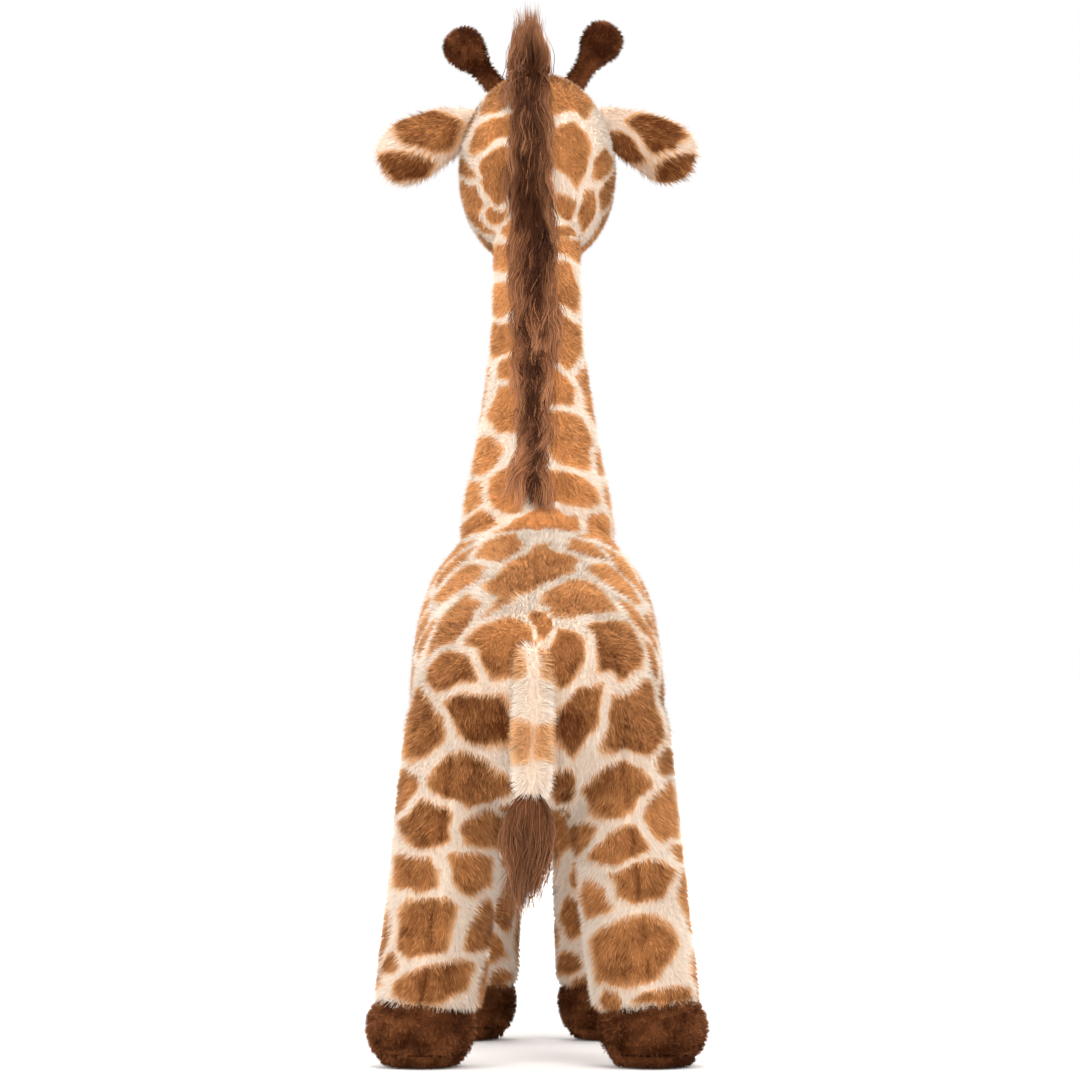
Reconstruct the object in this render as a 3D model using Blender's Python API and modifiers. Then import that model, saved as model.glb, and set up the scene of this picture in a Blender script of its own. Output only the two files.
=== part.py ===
"""A standing plush giraffe: sewn skins, their filling, weighted hooves, plastic eyes, mane and tail.

Metres, +Z up. The giraffe faces -Y and stands on the plane Z = 0, so its own left side is +X.
The skins' outer faces are the body of the pile; loose pile, mane hair and printed patches are finishes.
"""

import math

import bmesh
import bpy
from mathutils import Matrix, Vector
from mathutils.bvhtree import BVHTree

# Fabric, seams and filling
SKIN_WALL = 0.0020
SEAM_GAP = 0.0003
FILL_GAP = 0.0005
CUT_OVERRUN = 0.0040

# Stance: how far each hoof stands aside, and how far inside the torso's end
REAR_HOOF_X = 0.0615
FRONT_HOOF_X = 0.0405
REAR_HOOF_SETBACK = 0.0440
FRONT_HOOF_SETBACK = 0.0480

# Hooves
HOOF_RADIUS = 0.0285
HOOF_HEIGHT = 0.0430
SOLE_HEIGHT = 0.0070
SOLE_FLAT_RADIUS = 0.0165
POUCH_RADIUS = 0.0220
POUCH_HEIGHT = 0.0170
ANKLE_HOLE_RADIUS = 0.0100

# Legs
CUFF_HEIGHT = 0.0335
REAR_HIP_X = 0.0370
REAR_HIP_SETBACK = 0.0570
REAR_HIP_Z = 0.2140
FRONT_HIP_X = 0.0330
FRONT_HIP_SETBACK = 0.0560
FRONT_HIP_Z = 0.2200
ANKLE_HALF_WIDTH = 0.0272
ANKLE_HALF_DEPTH = 0.0276
REAR_THIGH_HALF_WIDTH = 0.0304
REAR_THIGH_HALF_DEPTH = 0.0385
FRONT_THIGH_HALF_WIDTH = 0.0286
FRONT_THIGH_HALF_DEPTH = 0.0340

# Torso
TORSO_REAR_Y = 0.1805
TORSO_FRONT_Y = -0.1115
TORSO_REAR_Z = 0.1880
TORSO_FRONT_Z = 0.2250
TORSO_HALF_WIDTH = 0.0640
TORSO_HALF_HEIGHT = 0.0700

# Neck
NECK_BASE_SETBACK = 0.0620
NECK_BASE_Z = 0.2980
NECK_BASE_HALF_WIDTH = 0.0385
NECK_BASE_HALF_DEPTH = 0.0450
NECK_RISE = 0.1580
NECK_REACH = 0.0300
NECK_TOP_HALF_WIDTH = 0.0236
NECK_TOP_HALF_DEPTH = 0.0270
NECK_LEAN_LIMIT = math.radians(8.0)

# Head, with what it carries, all measured from the top of the neck
HEAD_BACK_REACH = 0.0275
HEAD_NOSE_REACH = 0.1430
HEAD_BACK_RISE = 0.0410
HEAD_NOSE_DROP = 0.0040
HEAD_HALF_WIDTH = 0.0452
HEAD_HALF_HEIGHT = 0.0525
HEAD_PITCH = math.radians(8.0)
HEAD_NOD_LIMIT = math.radians(15.0)

# Ears
EAR_LENGTH = 0.0500
EAR_HALF_WIDTH = 0.0180
EAR_LAYER = 0.0022
EAR_CUP = 0.0060
EAR_DROOP = math.radians(20.0)
EAR_HINGE_LEAN = math.radians(20.6)
EAR_ROOT_REACH = 0.0190
EAR_ROOT_RISE = 0.0525
EAR_HEM = 0.0020
EAR_ROOT_RADIUS = 0.0044

# Horns
HORN_BASE_X = 0.0192
HORN_BASE_REACH = 0.0290
HORN_LENGTH = 0.0345
HORN_BALL_RADIUS = 0.0112
HORN_STALK_RADIUS = 0.0050
HORN_ROOT_RADIUS = 0.0060
HORN_LEAN = math.radians(36.0)
HORN_STAND_OFF = 0.0022

# Eyes
EYE_RADIUS = 0.0055
EYE_DOME_HEIGHT = 0.0034
EYE_SHANK_RADIUS = 0.0020
EYE_SHANK_LENGTH = 0.0090
EYE_REACH = 0.0690
EYE_RISE = 0.0370
WASHER_RADIUS = 0.0060
WASHER_THICKNESS = 0.0012
WASHER_RUNNING_GAP = 0.0002

# Mane
MANE_HALF_WIDTH = 0.0085
MANE_NECK_HEIGHT = 0.0110
MANE_POLL_HEIGHT = 0.0130
FORELOCK_HEIGHT = 0.0240
MANE_SINK = 0.0060

# Tail
TAIL_ROOT_Z = 0.2155
TAIL_ROOT_RADIUS = 0.0072
TAIL_STAND_OFF = 0.0055
TAIL_LENGTH = 0.0830
TAIL_RADIUS = 0.0097
TAIL_SWEEP_BACK = math.radians(24.0)
TUFT_LENGTH = 0.0560
TUFT_HALF_WIDTH = 0.0135
TUFT_ROOT_RADIUS = 0.0066
TUFT_STAND_OFF = 0.0036
TUFT_FLAT_SHARE = 0.65

# How finely the forms are cut
BODY_SIDES = 8
LIMB_SIDES = 8
MANE_SIDES = 6
TURNED_STEPS = 14
SMALL_TURNED_STEPS = 10
CUTTER_SIDES = 16

# Each torso station: place along it, width, height and rise, as shares of the torso's sizes
TORSO_SHARES = (
    (0.000, 0.26, 0.26, 0.02),
    (0.045, 0.70, 0.62, 0.05),
    (0.150, 0.97, 0.79, 0.11),
    (0.340, 1.01, 0.88, 0.40),
    (0.560, 0.99, 0.97, 0.74),
    (0.780, 0.96, 1.00, 0.96),
    (0.935, 0.66, 0.72, 0.93),
    (1.000, 0.24, 0.26, 0.84),
)

# Each leg station: height from cuff to hip, swelling from ankle to thigh, and fullness
LEG_SHARES = (
    (0.00, 0.00, 1.00),
    (0.30, 0.20, 1.00),
    (0.62, 0.78, 1.00),
    (0.86, 1.00, 0.95),
    (1.00, 1.00, 0.50),
)

# Each neck station: place from base to top, and how far the taper has gone
NECK_SHARES = (
    (0.00, 0.00),
    (0.23, 0.42),
    (0.55, 0.86),
    (1.00, 1.00),
)

# Angles of the rings that round off a ball end, from its widest ring
BALL_END_ANGLES = (math.radians(34.0), math.radians(64.0))

# Each head station: place from back to nose, drop, width, height and pitch, as shares
HEAD_SHARES = (
    (0.000, 0.00, 0.26, 0.25, 0.6),
    (0.055, 0.03, 0.70, 0.69, 0.6),
    (0.190, 0.13, 0.97, 0.98, 1.0),
    (0.360, 0.26, 1.03, 1.01, 1.4),
    (0.540, 0.47, 0.91, 0.825, 1.8),
    (0.700, 0.68, 0.74, 0.610, 2.0),
    (0.860, 0.85, 0.67, 0.510, 2.0),
    (0.965, 0.96, 0.52, 0.400, 2.0),
    (1.000, 1.00, 0.22, 0.170, 2.0),
)

# Each ear row: place from root to tip, half width and cup depth, as shares
EAR_SHARES = (
    (-0.09, 0.66, 0.00),
    (0.00, 0.68, 0.08),
    (0.18, 0.88, 0.35),
    (0.46, 1.07, 1.00),
    (0.74, 0.99, 0.85),
    (0.95, 0.60, 0.35),
    (1.03, 0.24, 0.10),
)
EAR_COLUMN_SHARES = (-1.0, 0.0, 1.0)

# Hoof outline above the sole: radius share, and height share from sole to crown
HOOF_SHARES = (
    (0.845, 0.00),
    (0.950, 0.16),
    (1.000, 0.36),
    (0.985, 0.56),
    (0.880, 0.78),
    (0.620, 0.95),
)

# Sole outline: place between its flat and the hoof's radius, and height share
SOLE_SHARES = ((0.00, 0.00), (0.14, 0.10), (0.42, 0.45), (0.60, 1.00))

# Neck mane stations: place up the neck and fullness
NECK_MANE_SHARES = (
    (-0.040, 0.45),
    (0.060, 0.90),
    (0.330, 1.00),
    (0.620, 1.00),
    (0.850, 0.95),
    (0.890, 0.55),
)

# Head mane stations: turn about the skull from the nape forwards, height between mane and
# forelock, and fullness
HEAD_MANE_SHARES = (
    (0.00, 0.00, 0.50),
    (0.08, 0.00, 0.95),
    (0.32, 0.10, 1.00),
    (0.58, 0.40, 1.00),
    (0.82, 1.00, 0.95),
    (1.00, 0.55, 0.50),
)
SKULL_SHARE = 0.305
HEAD_MANE_START = math.radians(-32.0)
HEAD_MANE_END = math.radians(118.0)

# Tail outline below its root ball, pinched where it is sewn on: radius share and place share
TAIL_SHARES = ((0.60, 0.055), (0.62, 0.12), (0.84, 0.28), (1.00, 0.48), (1.00, 1.00))

# Tuft outline: radius share and place share down from its root ball
TUFT_SHARES = ((0.80, 0.16), (1.00, 0.36), (0.92, 0.60), (0.58, 0.84), (0.16, 1.00))

# Colours and surface of the pile fabrics and the plastic
CARAMEL = (0.42, 0.20, 0.08, 1.0)
CREAM = (0.83, 0.66, 0.50, 1.0)
HOOF_BROWN = (0.10, 0.035, 0.013, 1.0)
MANE_BROWN = (0.14, 0.055, 0.025, 1.0)
FIBRE_WHITE = (0.85, 0.85, 0.83, 1.0)
POUCH_GREY = (0.55, 0.54, 0.50, 1.0)
EYE_BLACK = (0.012, 0.010, 0.010, 1.0)
WASHER_WHITE = (0.80, 0.80, 0.78, 1.0)


def clear_scene():
    for old in list(bpy.data.objects):
        bpy.data.objects.remove(old, do_unlink=True)


def new_collection(name):
    collection = bpy.data.collections.new(name)
    bpy.context.scene.collection.children.link(collection)
    return collection


def new_material(name, colour, roughness):
    material = bpy.data.materials.new(name)
    material.use_nodes = True
    shader = material.node_tree.nodes["Principled BSDF"]
    shader.inputs["Base Color"].default_value = colour
    shader.inputs["Roughness"].default_value = roughness
    shader.inputs["Metallic"].default_value = 0.0
    return material


def new_object(name, mesh, material=None, joint=None):
    """A named part in the giraffe's collection, its origin on the joint that carries it."""
    obj = bpy.data.objects.new(name, mesh)
    GIRAFFE.objects.link(obj)
    if material is not None:
        mesh.materials.append(material)
    mesh.shade_smooth()
    if joint is not None:
        mesh.transform(Matrix.Translation(joint.location).inverted())
        obj.parent = joint
    return obj


def new_cutter(name, mesh):
    """A helper that only cuts: never rendered, drawn as a wire."""
    obj = bpy.data.objects.new(name, mesh)
    CUTTERS.objects.link(obj)
    obj.hide_render = True
    obj.display_type = "WIRE"
    return obj


def new_joint(name, place):
    """An empty on a joint's axis, which carries the parts that move about it."""
    empty = bpy.data.objects.new(name, None)
    empty.location = place
    GIRAFFE.objects.link(empty)
    return empty


def mesh_from(bm, name):
    bmesh.ops.recalc_face_normals(bm, faces=bm.faces)
    mesh = bpy.data.meshes.new(name)
    bm.to_mesh(mesh)
    bm.free()
    return mesh


def subdivide(obj, levels=1):
    modifier = obj.modifiers.new("Rounded", "SUBSURF")
    modifier.levels = levels
    modifier.render_levels = levels


def thicken(obj, wall):
    """Turns a surface into cloth of this thickness, inwards from its outer face."""
    modifier = obj.modifiers.new("Cloth", "SOLIDIFY")
    modifier.thickness = wall
    modifier.offset = -1.0
    modifier.use_even_offset = True
    modifier.use_quality_normals = True


def grow(obj, distance):
    """Moves a form's surface out by this distance, or in where it is negative."""
    modifier = obj.modifiers.new("Grown", "DISPLACE")
    modifier.strength = distance
    modifier.mid_level = 0.0


def cut(obj, *cutters):
    for cutter in cutters:
        modifier = obj.modifiers.new("Cut by " + cutter.name, "BOOLEAN")
        modifier.operation = "DIFFERENCE"
        modifier.object = cutter


def ring_swell(sides):
    """How much wider a cage ring is than the rounded form that it gives."""
    return 4.0 / (3.0 + math.cos(math.tau / sides))


def station(centre, half_width, half_depth, pitch):
    """A cage ring: its own Z runs along the form, and pitch turns it forwards about X."""
    return Vector(centre), half_width, half_depth, pitch


def station_matrix(place, swell):
    centre, half_width, half_depth, pitch = place
    size = Matrix.Diagonal((half_width * swell, half_depth * swell, 1.0, 1.0))
    return Matrix.Translation(centre) @ Matrix.Rotation(pitch, 4, "X") @ size


def swept_cage(name, stations, sides, open_start=False, open_end=False):
    """A cage drawn from ring to ring through the stations, its ends capped unless open."""
    bm = bmesh.new()
    swell = ring_swell(sides)
    ring = bmesh.ops.create_circle(bm, segments=sides, radius=1.0)["verts"]
    before = station_matrix(stations[0], swell)
    bmesh.ops.transform(bm, matrix=before, verts=ring)
    edges = list(bm.edges)
    if not open_start:
        bmesh.ops.contextual_create(bm, geom=edges)
    for place in stations[1:]:
        drawn = bmesh.ops.extrude_edge_only(bm, edges=edges)["geom"]
        ring = [item for item in drawn if isinstance(item, bmesh.types.BMVert)]
        edges = [item for item in drawn if isinstance(item, bmesh.types.BMEdge)]
        after = station_matrix(place, swell)
        bmesh.ops.transform(bm, matrix=after @ before.inverted(), verts=ring)
        before = after
    if not open_end:
        bmesh.ops.contextual_create(bm, geom=edges)
    return mesh_from(bm, name)


def facet_room(sides):
    """How much wider a cutter with this many sides is, so that its flats clear the true round."""
    return 1.0 / math.cos(math.pi / sides)


def turned_mesh(name, outline, steps, closed=False):
    """A profile of (radius, height) points, from top to bottom down its outer side, turned about Z."""
    bm = bmesh.new()
    points = [bm.verts.new((radius, 0.0, height)) for radius, height in outline]
    for upper, lower in zip(points, points[1:]):
        bm.edges.new((upper, lower))
    if closed:
        bm.edges.new((points[-1], points[0]))
    profile = bpy.data.meshes.new(name)
    bm.to_mesh(profile)
    bm.free()
    turning = bpy.data.objects.new(name + "_turning", profile)
    CUTTERS.objects.link(turning)
    screw = turning.modifiers.new("Turned", "SCREW")
    screw.steps = steps
    screw.render_steps = steps
    screw.use_merge_vertices = True
    screw.merge_threshold = 0.00001
    bpy.context.view_layer.update()
    graph = bpy.context.evaluated_depsgraph_get()
    mesh = bpy.data.meshes.new_from_object(turning.evaluated_get(graph))
    mesh.name = name
    bpy.data.objects.remove(turning)
    return mesh


def ball_mesh(name, centre, radii, segments=12, rings=7):
    bm = bmesh.new()
    bmesh.ops.create_uvsphere(bm, u_segments=segments, v_segments=rings, radius=1.0)
    size = Matrix.Diagonal((radii[0], radii[1], radii[2], 1.0))
    bmesh.ops.transform(bm, matrix=Matrix.Translation(centre) @ size, verts=bm.verts)
    return mesh_from(bm, name)


def cone_mesh(name, matrix, low_radius, high_radius, height, sides=CUTTER_SIDES):
    """A cone or rod along its own Z, from 0 up to its height, then placed by the matrix."""
    bm = bmesh.new()
    bmesh.ops.create_cone(
        bm, cap_ends=True, segments=sides, radius1=low_radius, radius2=high_radius, depth=height
    )
    lifted = matrix @ Matrix.Translation((0.0, 0.0, height / 2.0))
    bmesh.ops.transform(bm, matrix=lifted, verts=bm.verts)
    return mesh_from(bm, name)


def socket_mesh(name, centre, radii):
    """A ball that clears a ball end of these radii by the seam's gap."""
    room = facet_room(CUTTER_SIDES)
    wider = [(radius + SEAM_GAP) * room for radius in radii]
    return ball_mesh(name, centre, wider, CUTTER_SIDES, CUTTER_SIDES // 2 + 2)


def tree_of(obj):
    """The object's evaluated surface in world space, for placing others on it."""
    bpy.context.view_layer.update()
    graph = bpy.context.evaluated_depsgraph_get()
    mesh = bpy.data.meshes.new_from_object(obj.evaluated_get(graph))
    mesh.transform(obj.matrix_world)
    corners = [vertex.co.copy() for vertex in mesh.vertices]
    faces = [tuple(face.vertices) for face in mesh.polygons]
    bpy.data.meshes.remove(mesh)
    return BVHTree.FromPolygons(corners, faces)


def seat_on(tree, start, direction):
    """Where a line from outside first meets the surface, and the surface's outward normal."""
    place, normal, _, _ = tree.ray_cast(Vector(start), Vector(direction).normalized())
    if normal.dot(Vector(direction)) > 0.0:
        normal = -normal
    return place, normal


def form_cutter(name, stations, sides, distance):
    """The form through these stations, grown by a distance, as a cutter."""
    cutter = new_cutter(name, swept_cage(name, stations, sides))
    subdivide(cutter)
    grow(cutter, distance)
    return cutter


def sewn_skin(name, stations, sides, joint=None, open_start=False, open_end=False):
    cage = swept_cage(name, stations, sides, open_start, open_end)
    skin = new_object(name, cage, PLUSH, joint)
    subdivide(skin)
    thicken(skin, SKIN_WALL)
    return skin


def filling(name, stations, sides, joint=None):
    """The fibre inside a skin: the skin's own form, inset by the cloth and a seam's gap."""
    fill = new_object(name, swept_cage(name, stations, sides), FIBRE, joint)
    subdivide(fill)
    grow(fill, -(SKIN_WALL + FILL_GAP))
    return fill


def between(low, high, share):
    return low + (high - low) * share


def torso_stations():
    places = []
    for along, width, height, rise in TORSO_SHARES:
        centre = (
            0.0,
            between(TORSO_REAR_Y, TORSO_FRONT_Y, along),
            between(TORSO_REAR_Z, TORSO_FRONT_Z, rise),
        )
        half_width = TORSO_HALF_WIDTH * width
        half_height = TORSO_HALF_HEIGHT * height
        places.append(station(centre, half_width, half_height, math.radians(90.0)))
    return places


def leg_stations(side, hoof_x, hoof_y, hip, thigh_half_width, thigh_half_depth):
    foot = Vector((side * hoof_x, hoof_y, 0.0))
    top = Vector((side * hip[0], hip[1], hip[2]))
    cuff = foot.lerp(top, CUFF_HEIGHT / hip[2])
    places = []
    for up, swelling, fullness in LEG_SHARES:
        half_width = between(ANKLE_HALF_WIDTH, thigh_half_width, swelling) * fullness
        half_depth = between(ANKLE_HALF_DEPTH, thigh_half_depth, swelling) * fullness
        places.append(station(cuff.lerp(top, up), half_width, half_depth, 0.0))
    return places


def neck_line():
    base = Vector((0.0, TORSO_FRONT_Y + NECK_BASE_SETBACK, NECK_BASE_Z))
    top = base + Vector((0.0, -NECK_REACH, NECK_RISE))
    lean = math.atan2(NECK_REACH, NECK_RISE)
    return base, top, lean


def ball_end(pivot, along, half_width, half_depth, lean):
    """Rings that round off the neck about its pivot, so that it turns there without opening."""
    return [
        station(
            pivot + along * (half_depth * math.sin(angle)),
            half_width * math.cos(angle),
            half_depth * math.cos(angle),
            lean,
        )
        for angle in BALL_END_ANGLES
    ]


def neck_stations():
    base, top, lean = neck_line()
    along = (top - base).normalized()
    lower = ball_end(base, -along, NECK_BASE_HALF_WIDTH, NECK_BASE_HALF_DEPTH, lean)
    upper = ball_end(top, along, NECK_TOP_HALF_WIDTH, NECK_TOP_HALF_DEPTH, lean)
    shaft = []
    for up, taper in NECK_SHARES:
        half_width = between(NECK_BASE_HALF_WIDTH, NECK_TOP_HALF_WIDTH, taper)
        half_depth = between(NECK_BASE_HALF_DEPTH, NECK_TOP_HALF_DEPTH, taper)
        shaft.append(station(base.lerp(top, up), half_width, half_depth, lean))
    return lower[::-1] + shaft + upper


def head_place(reach, rise):
    """A place in the middle plane, so far ahead of the top of the neck and above it."""
    _, top, _ = neck_line()
    return top + Vector((0.0, -reach, rise))


def head_stations():
    places = []
    for along, drop, width, height, pitch in HEAD_SHARES:
        centre = head_place(
            between(-HEAD_BACK_REACH, HEAD_NOSE_REACH, along),
            between(HEAD_BACK_RISE, -HEAD_NOSE_DROP, drop),
        )
        turn = math.radians(90.0) + HEAD_PITCH * pitch
        places.append(
            station(centre, HEAD_HALF_WIDTH * width, HEAD_HALF_HEIGHT * height, turn)
        )
    return places


def swing_cutters(name, pivot, radii, axis, swing, reach):
    """Room for a ball end and for the shaft beyond it, as that shaft swings each way about the pivot."""
    room = facet_room(CUTTER_SIDES)
    ball = new_cutter(name + "_ball", socket_mesh(name + "_ball", pivot, radii))
    rise = radii[1] * math.sin(swing)
    neck_radius = (radii[1] * math.cos(swing) + SEAM_GAP) * room
    height = reach + rise
    mouth = neck_radius + height * math.tan(swing)
    turn = Vector((0.0, 0.0, 1.0)).rotation_difference(axis).to_matrix().to_4x4()
    flat = Matrix.Diagonal((radii[0] / radii[1], 1.0, 1.0, 1.0))
    start = Matrix.Translation(pivot) @ flat @ turn @ Matrix.Translation((0.0, 0.0, -rise))
    cone = new_cutter(
        name + "_room", cone_mesh(name + "_room", start, neck_radius, mouth, height)
    )
    return ball, cone


def make_torso():
    stations = torso_stations()
    skin = sewn_skin("torso_skin", stations, BODY_SIDES)
    fill = filling("torso_filling", stations, BODY_SIDES)
    return stations, skin, fill


def make_hoof(name, x, y):
    """One hoof: a padded sole on the floor, a domed upper sewn on it, and a weight pouch inside."""
    floor = Matrix.Translation((x, y, 0.0))
    sole_outline = [(0.0, SOLE_HEIGHT)]
    for out, up in reversed(SOLE_SHARES):
        radius = between(SOLE_FLAT_RADIUS, HOOF_RADIUS, out)
        sole_outline.append((radius, SOLE_HEIGHT * up))
    sole_outline.append((0.0, 0.0))
    sole_mesh = turned_mesh(name + "_sole", sole_outline, TURNED_STEPS)
    sole_mesh.transform(floor)
    new_object(name + "_sole", sole_mesh, HOOF_PLUSH)

    start = SOLE_HEIGHT + SEAM_GAP
    outline = [(ANKLE_HOLE_RADIUS, HOOF_HEIGHT)]
    for out, up in reversed(HOOF_SHARES):
        outline.append((HOOF_RADIUS * out, between(start, HOOF_HEIGHT, up)))
    upper_mesh = turned_mesh(name + "_upper", outline, TURNED_STEPS)
    upper_mesh.transform(floor)
    upper = new_object(name + "_upper", upper_mesh, HOOF_PLUSH)
    thicken(upper, SKIN_WALL)

    centre = (x, y, start + POUCH_HEIGHT / 2.0)
    radii = (POUCH_RADIUS, POUCH_RADIUS, POUCH_HEIGHT / 2.0)
    new_object(name + "_weight_pouch", ball_mesh(name + "_pouch", centre, radii), POUCH)

    dome_outline = [(0.0, HOOF_HEIGHT)] + outline + [(0.0, start)]
    dome_mesh = turned_mesh(name + "_dome", dome_outline, TURNED_STEPS)
    dome_mesh.transform(floor)
    dome = new_cutter(name + "_dome", dome_mesh)
    grow(dome, SEAM_GAP)
    return dome


def make_leg(name, side, front, torso_cutter):
    """One leg: an open-ended sewn tube over the hoof, packed with fibre, sewn on at the hip."""
    if front:
        hoof_y = TORSO_FRONT_Y + FRONT_HOOF_SETBACK
        hip = (FRONT_HIP_X, TORSO_FRONT_Y + FRONT_HIP_SETBACK, FRONT_HIP_Z)
        sizes = (FRONT_HOOF_X, hoof_y, hip, FRONT_THIGH_HALF_WIDTH, FRONT_THIGH_HALF_DEPTH)
    else:
        hoof_y = TORSO_REAR_Y - REAR_HOOF_SETBACK
        hip = (REAR_HIP_X, TORSO_REAR_Y - REAR_HIP_SETBACK, REAR_HIP_Z)
        sizes = (REAR_HOOF_X, hoof_y, hip, REAR_THIGH_HALF_WIDTH, REAR_THIGH_HALF_DEPTH)
    stations = leg_stations(side, *sizes)
    dome = make_hoof(name + "_hoof", side * sizes[0], sizes[1])
    skin = sewn_skin(name + "_leg_skin", stations, LIMB_SIDES, open_start=True)
    fill = filling(name + "_leg_filling", stations, LIMB_SIDES)
    cut(skin, torso_cutter, dome)
    cut(fill, torso_cutter, dome)


def make_neck(joint):
    stations = neck_stations()
    skin = sewn_skin("neck_skin", stations, LIMB_SIDES, joint, open_start=True, open_end=True)
    fill = filling("neck_filling", stations, LIMB_SIDES, joint)
    return stations, skin, fill


def make_head(joint):
    stations = head_stations()
    skin = sewn_skin("head_skin", stations, BODY_SIDES, joint)
    fill = filling("head_filling", stations, BODY_SIDES, joint)
    return stations, skin, fill


def open_neck_hole(torso_skin, torso_fill):
    """The hole in the shoulders that the neck's rounded root turns in."""
    base, top, lean = neck_line()
    radii = (NECK_BASE_HALF_WIDTH, NECK_BASE_HALF_DEPTH, NECK_BASE_HALF_DEPTH)
    cutters = swing_cutters(
        "neck_root", base, radii, (top - base).normalized(), NECK_LEAN_LIMIT, TORSO_HALF_HEIGHT / 2.0
    )
    cut(torso_skin, *cutters)
    cut(torso_fill, *cutters)


def open_throat(head_skin, head_fill):
    """The hole under the head that the neck's rounded top turns in."""
    base, top, lean = neck_line()
    radii = (NECK_TOP_HALF_WIDTH, NECK_TOP_HALF_DEPTH, NECK_TOP_HALF_DEPTH)
    cutters = swing_cutters(
        "neck_crown", top, radii, (base - top).normalized(), HEAD_NOD_LIMIT, HEAD_HALF_HEIGHT
    )
    cut(head_skin, *cutters)
    cut(head_fill, *cutters)


def ear_leaf(name, side, hem, forward, layer):
    """A cupped leaf, its root on the origin: long in X, wide in Z, hollow towards -Y."""
    bm = bmesh.new()
    rows = len(EAR_SHARES)
    columns = len(EAR_COLUMN_SHARES)
    bmesh.ops.create_grid(bm, x_segments=rows - 1, y_segments=columns - 1, size=1.0)
    for vertex in bm.verts:
        row = round((vertex.co.x + 1.0) / 2.0 * (rows - 1))
        column = round((vertex.co.y + 1.0) / 2.0 * (columns - 1))
        along, width, cup = EAR_SHARES[row]
        across = EAR_COLUMN_SHARES[column]
        hollow = EAR_CUP * cup * (across * across - 0.5)
        vertex.co = (
            side * between(0.0, EAR_LENGTH - hem, along),
            -hollow - forward,
            (EAR_HALF_WIDTH * width - hem) * across,
        )
    bmesh.ops.recalc_face_normals(bm, faces=bm.faces)
    if sum(face.normal.y for face in bm.faces) < 0.0:
        bmesh.ops.reverse_faces(bm, faces=bm.faces)
    mesh = bpy.data.meshes.new(name)
    bm.to_mesh(mesh)
    bm.free()
    return mesh


def make_ear(name, side, head_tree, parent_joint):
    """One ear: a printed back and a plain lining sewn into a slit in the head."""
    outside = head_place(EAR_ROOT_REACH, EAR_ROOT_RISE)
    outside.x = side * 2.0 * HEAD_HALF_WIDTH
    root, _ = seat_on(head_tree, outside, (-side, 0.0, 0.0))
    hang = Matrix.Rotation(side * EAR_DROOP, 3, "Y")
    hinge = Matrix.Rotation(-side * EAR_HINGE_LEAN, 3, "Y")
    joint = new_joint(name + "_root", root)
    joint.parent = parent_joint
    joint.location = root - parent_joint.location
    middle = EAR_LAYER + SEAM_GAP / 2.0
    layers = (("_back", 0.0, -middle), ("_lining", EAR_HEM, SEAM_GAP / 2.0))
    for suffix, hem, forward in layers:
        mesh = ear_leaf(name + suffix, side, hem, forward, EAR_LAYER)
        for vertex in mesh.vertices:
            long, deep, wide = vertex.co
            share = min(max(side * long / EAR_LENGTH, 0.0), 1.0)
            across = hinge.col[2].lerp(hang.col[2], share)
            vertex.co = root + hang.col[0] * long + hang.col[1] * deep + across * wide
        leaf = bpy.data.objects.new(name + suffix, mesh)
        GIRAFFE.objects.link(leaf)
        mesh.materials.append(PLUSH if suffix == "_back" else LINING)
        mesh.shade_smooth()
        mesh.transform(Matrix.Translation(root).inverted())
        leaf.parent = joint
        subdivide(leaf)
        thicken(leaf, EAR_LAYER)
    half_slit = EAR_HALF_WIDTH * EAR_SHARES[2][1] + CUT_OVERRUN
    slit = Matrix.Translation(root) @ hinge.to_4x4() @ Matrix.Translation((0.0, 0.0, -half_slit))
    radius = EAR_ROOT_RADIUS + SEAM_GAP
    return joint, new_cutter(
        name + "_slit", cone_mesh(name + "_slit", slit, radius, radius, 2.0 * half_slit)
    )


def make_horn(name, side, head_tree, parent_joint):
    """One horn: a stuffed stalk with a ball on top and a rounded root that turns in the head."""
    above = head_place(HORN_BASE_REACH, HEAD_BACK_RISE + 2.0 * HEAD_HALF_HEIGHT)
    above.x = side * HORN_BASE_X
    seat, _ = seat_on(head_tree, above, (0.0, 0.0, -1.0))
    axis = Vector((side * math.sin(HORN_LEAN), 0.0, math.cos(HORN_LEAN)))
    pivot = seat + axis * HORN_STAND_OFF
    outline = []
    for step in range(7):
        angle = math.radians(90.0 - 20.0 * step)
        outline.append(
            (HORN_BALL_RADIUS * math.cos(angle), HORN_LENGTH + HORN_BALL_RADIUS * math.sin(angle))
        )
    outline.append((HORN_STALK_RADIUS, HORN_LENGTH / 2.0))
    outline.append((HORN_STALK_RADIUS, HORN_LENGTH / 4.0))
    for step in range(5):
        angle = math.radians(-22.5 * step)
        outline.append((HORN_ROOT_RADIUS * math.cos(angle), HORN_ROOT_RADIUS * math.sin(angle)))
    outline[0] = (0.0, outline[0][1])
    outline[-1] = (0.0, outline[-1][1])
    mesh = turned_mesh(name, outline, SMALL_TURNED_STEPS)
    lean = Matrix.Rotation(side * HORN_LEAN, 4, "Y")
    mesh.transform(lean)
    joint = new_joint(name + "_root", pivot - parent_joint.location)
    joint.parent = parent_joint
    horn = bpy.data.objects.new(name, mesh)
    GIRAFFE.objects.link(horn)
    mesh.materials.append(HORN_PLUSH)
    mesh.shade_smooth()
    horn.parent = joint
    radii = (HORN_ROOT_RADIUS,) * 3
    return pivot, new_cutter(name + "_socket", socket_mesh(name + "_socket", pivot, radii))


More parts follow.
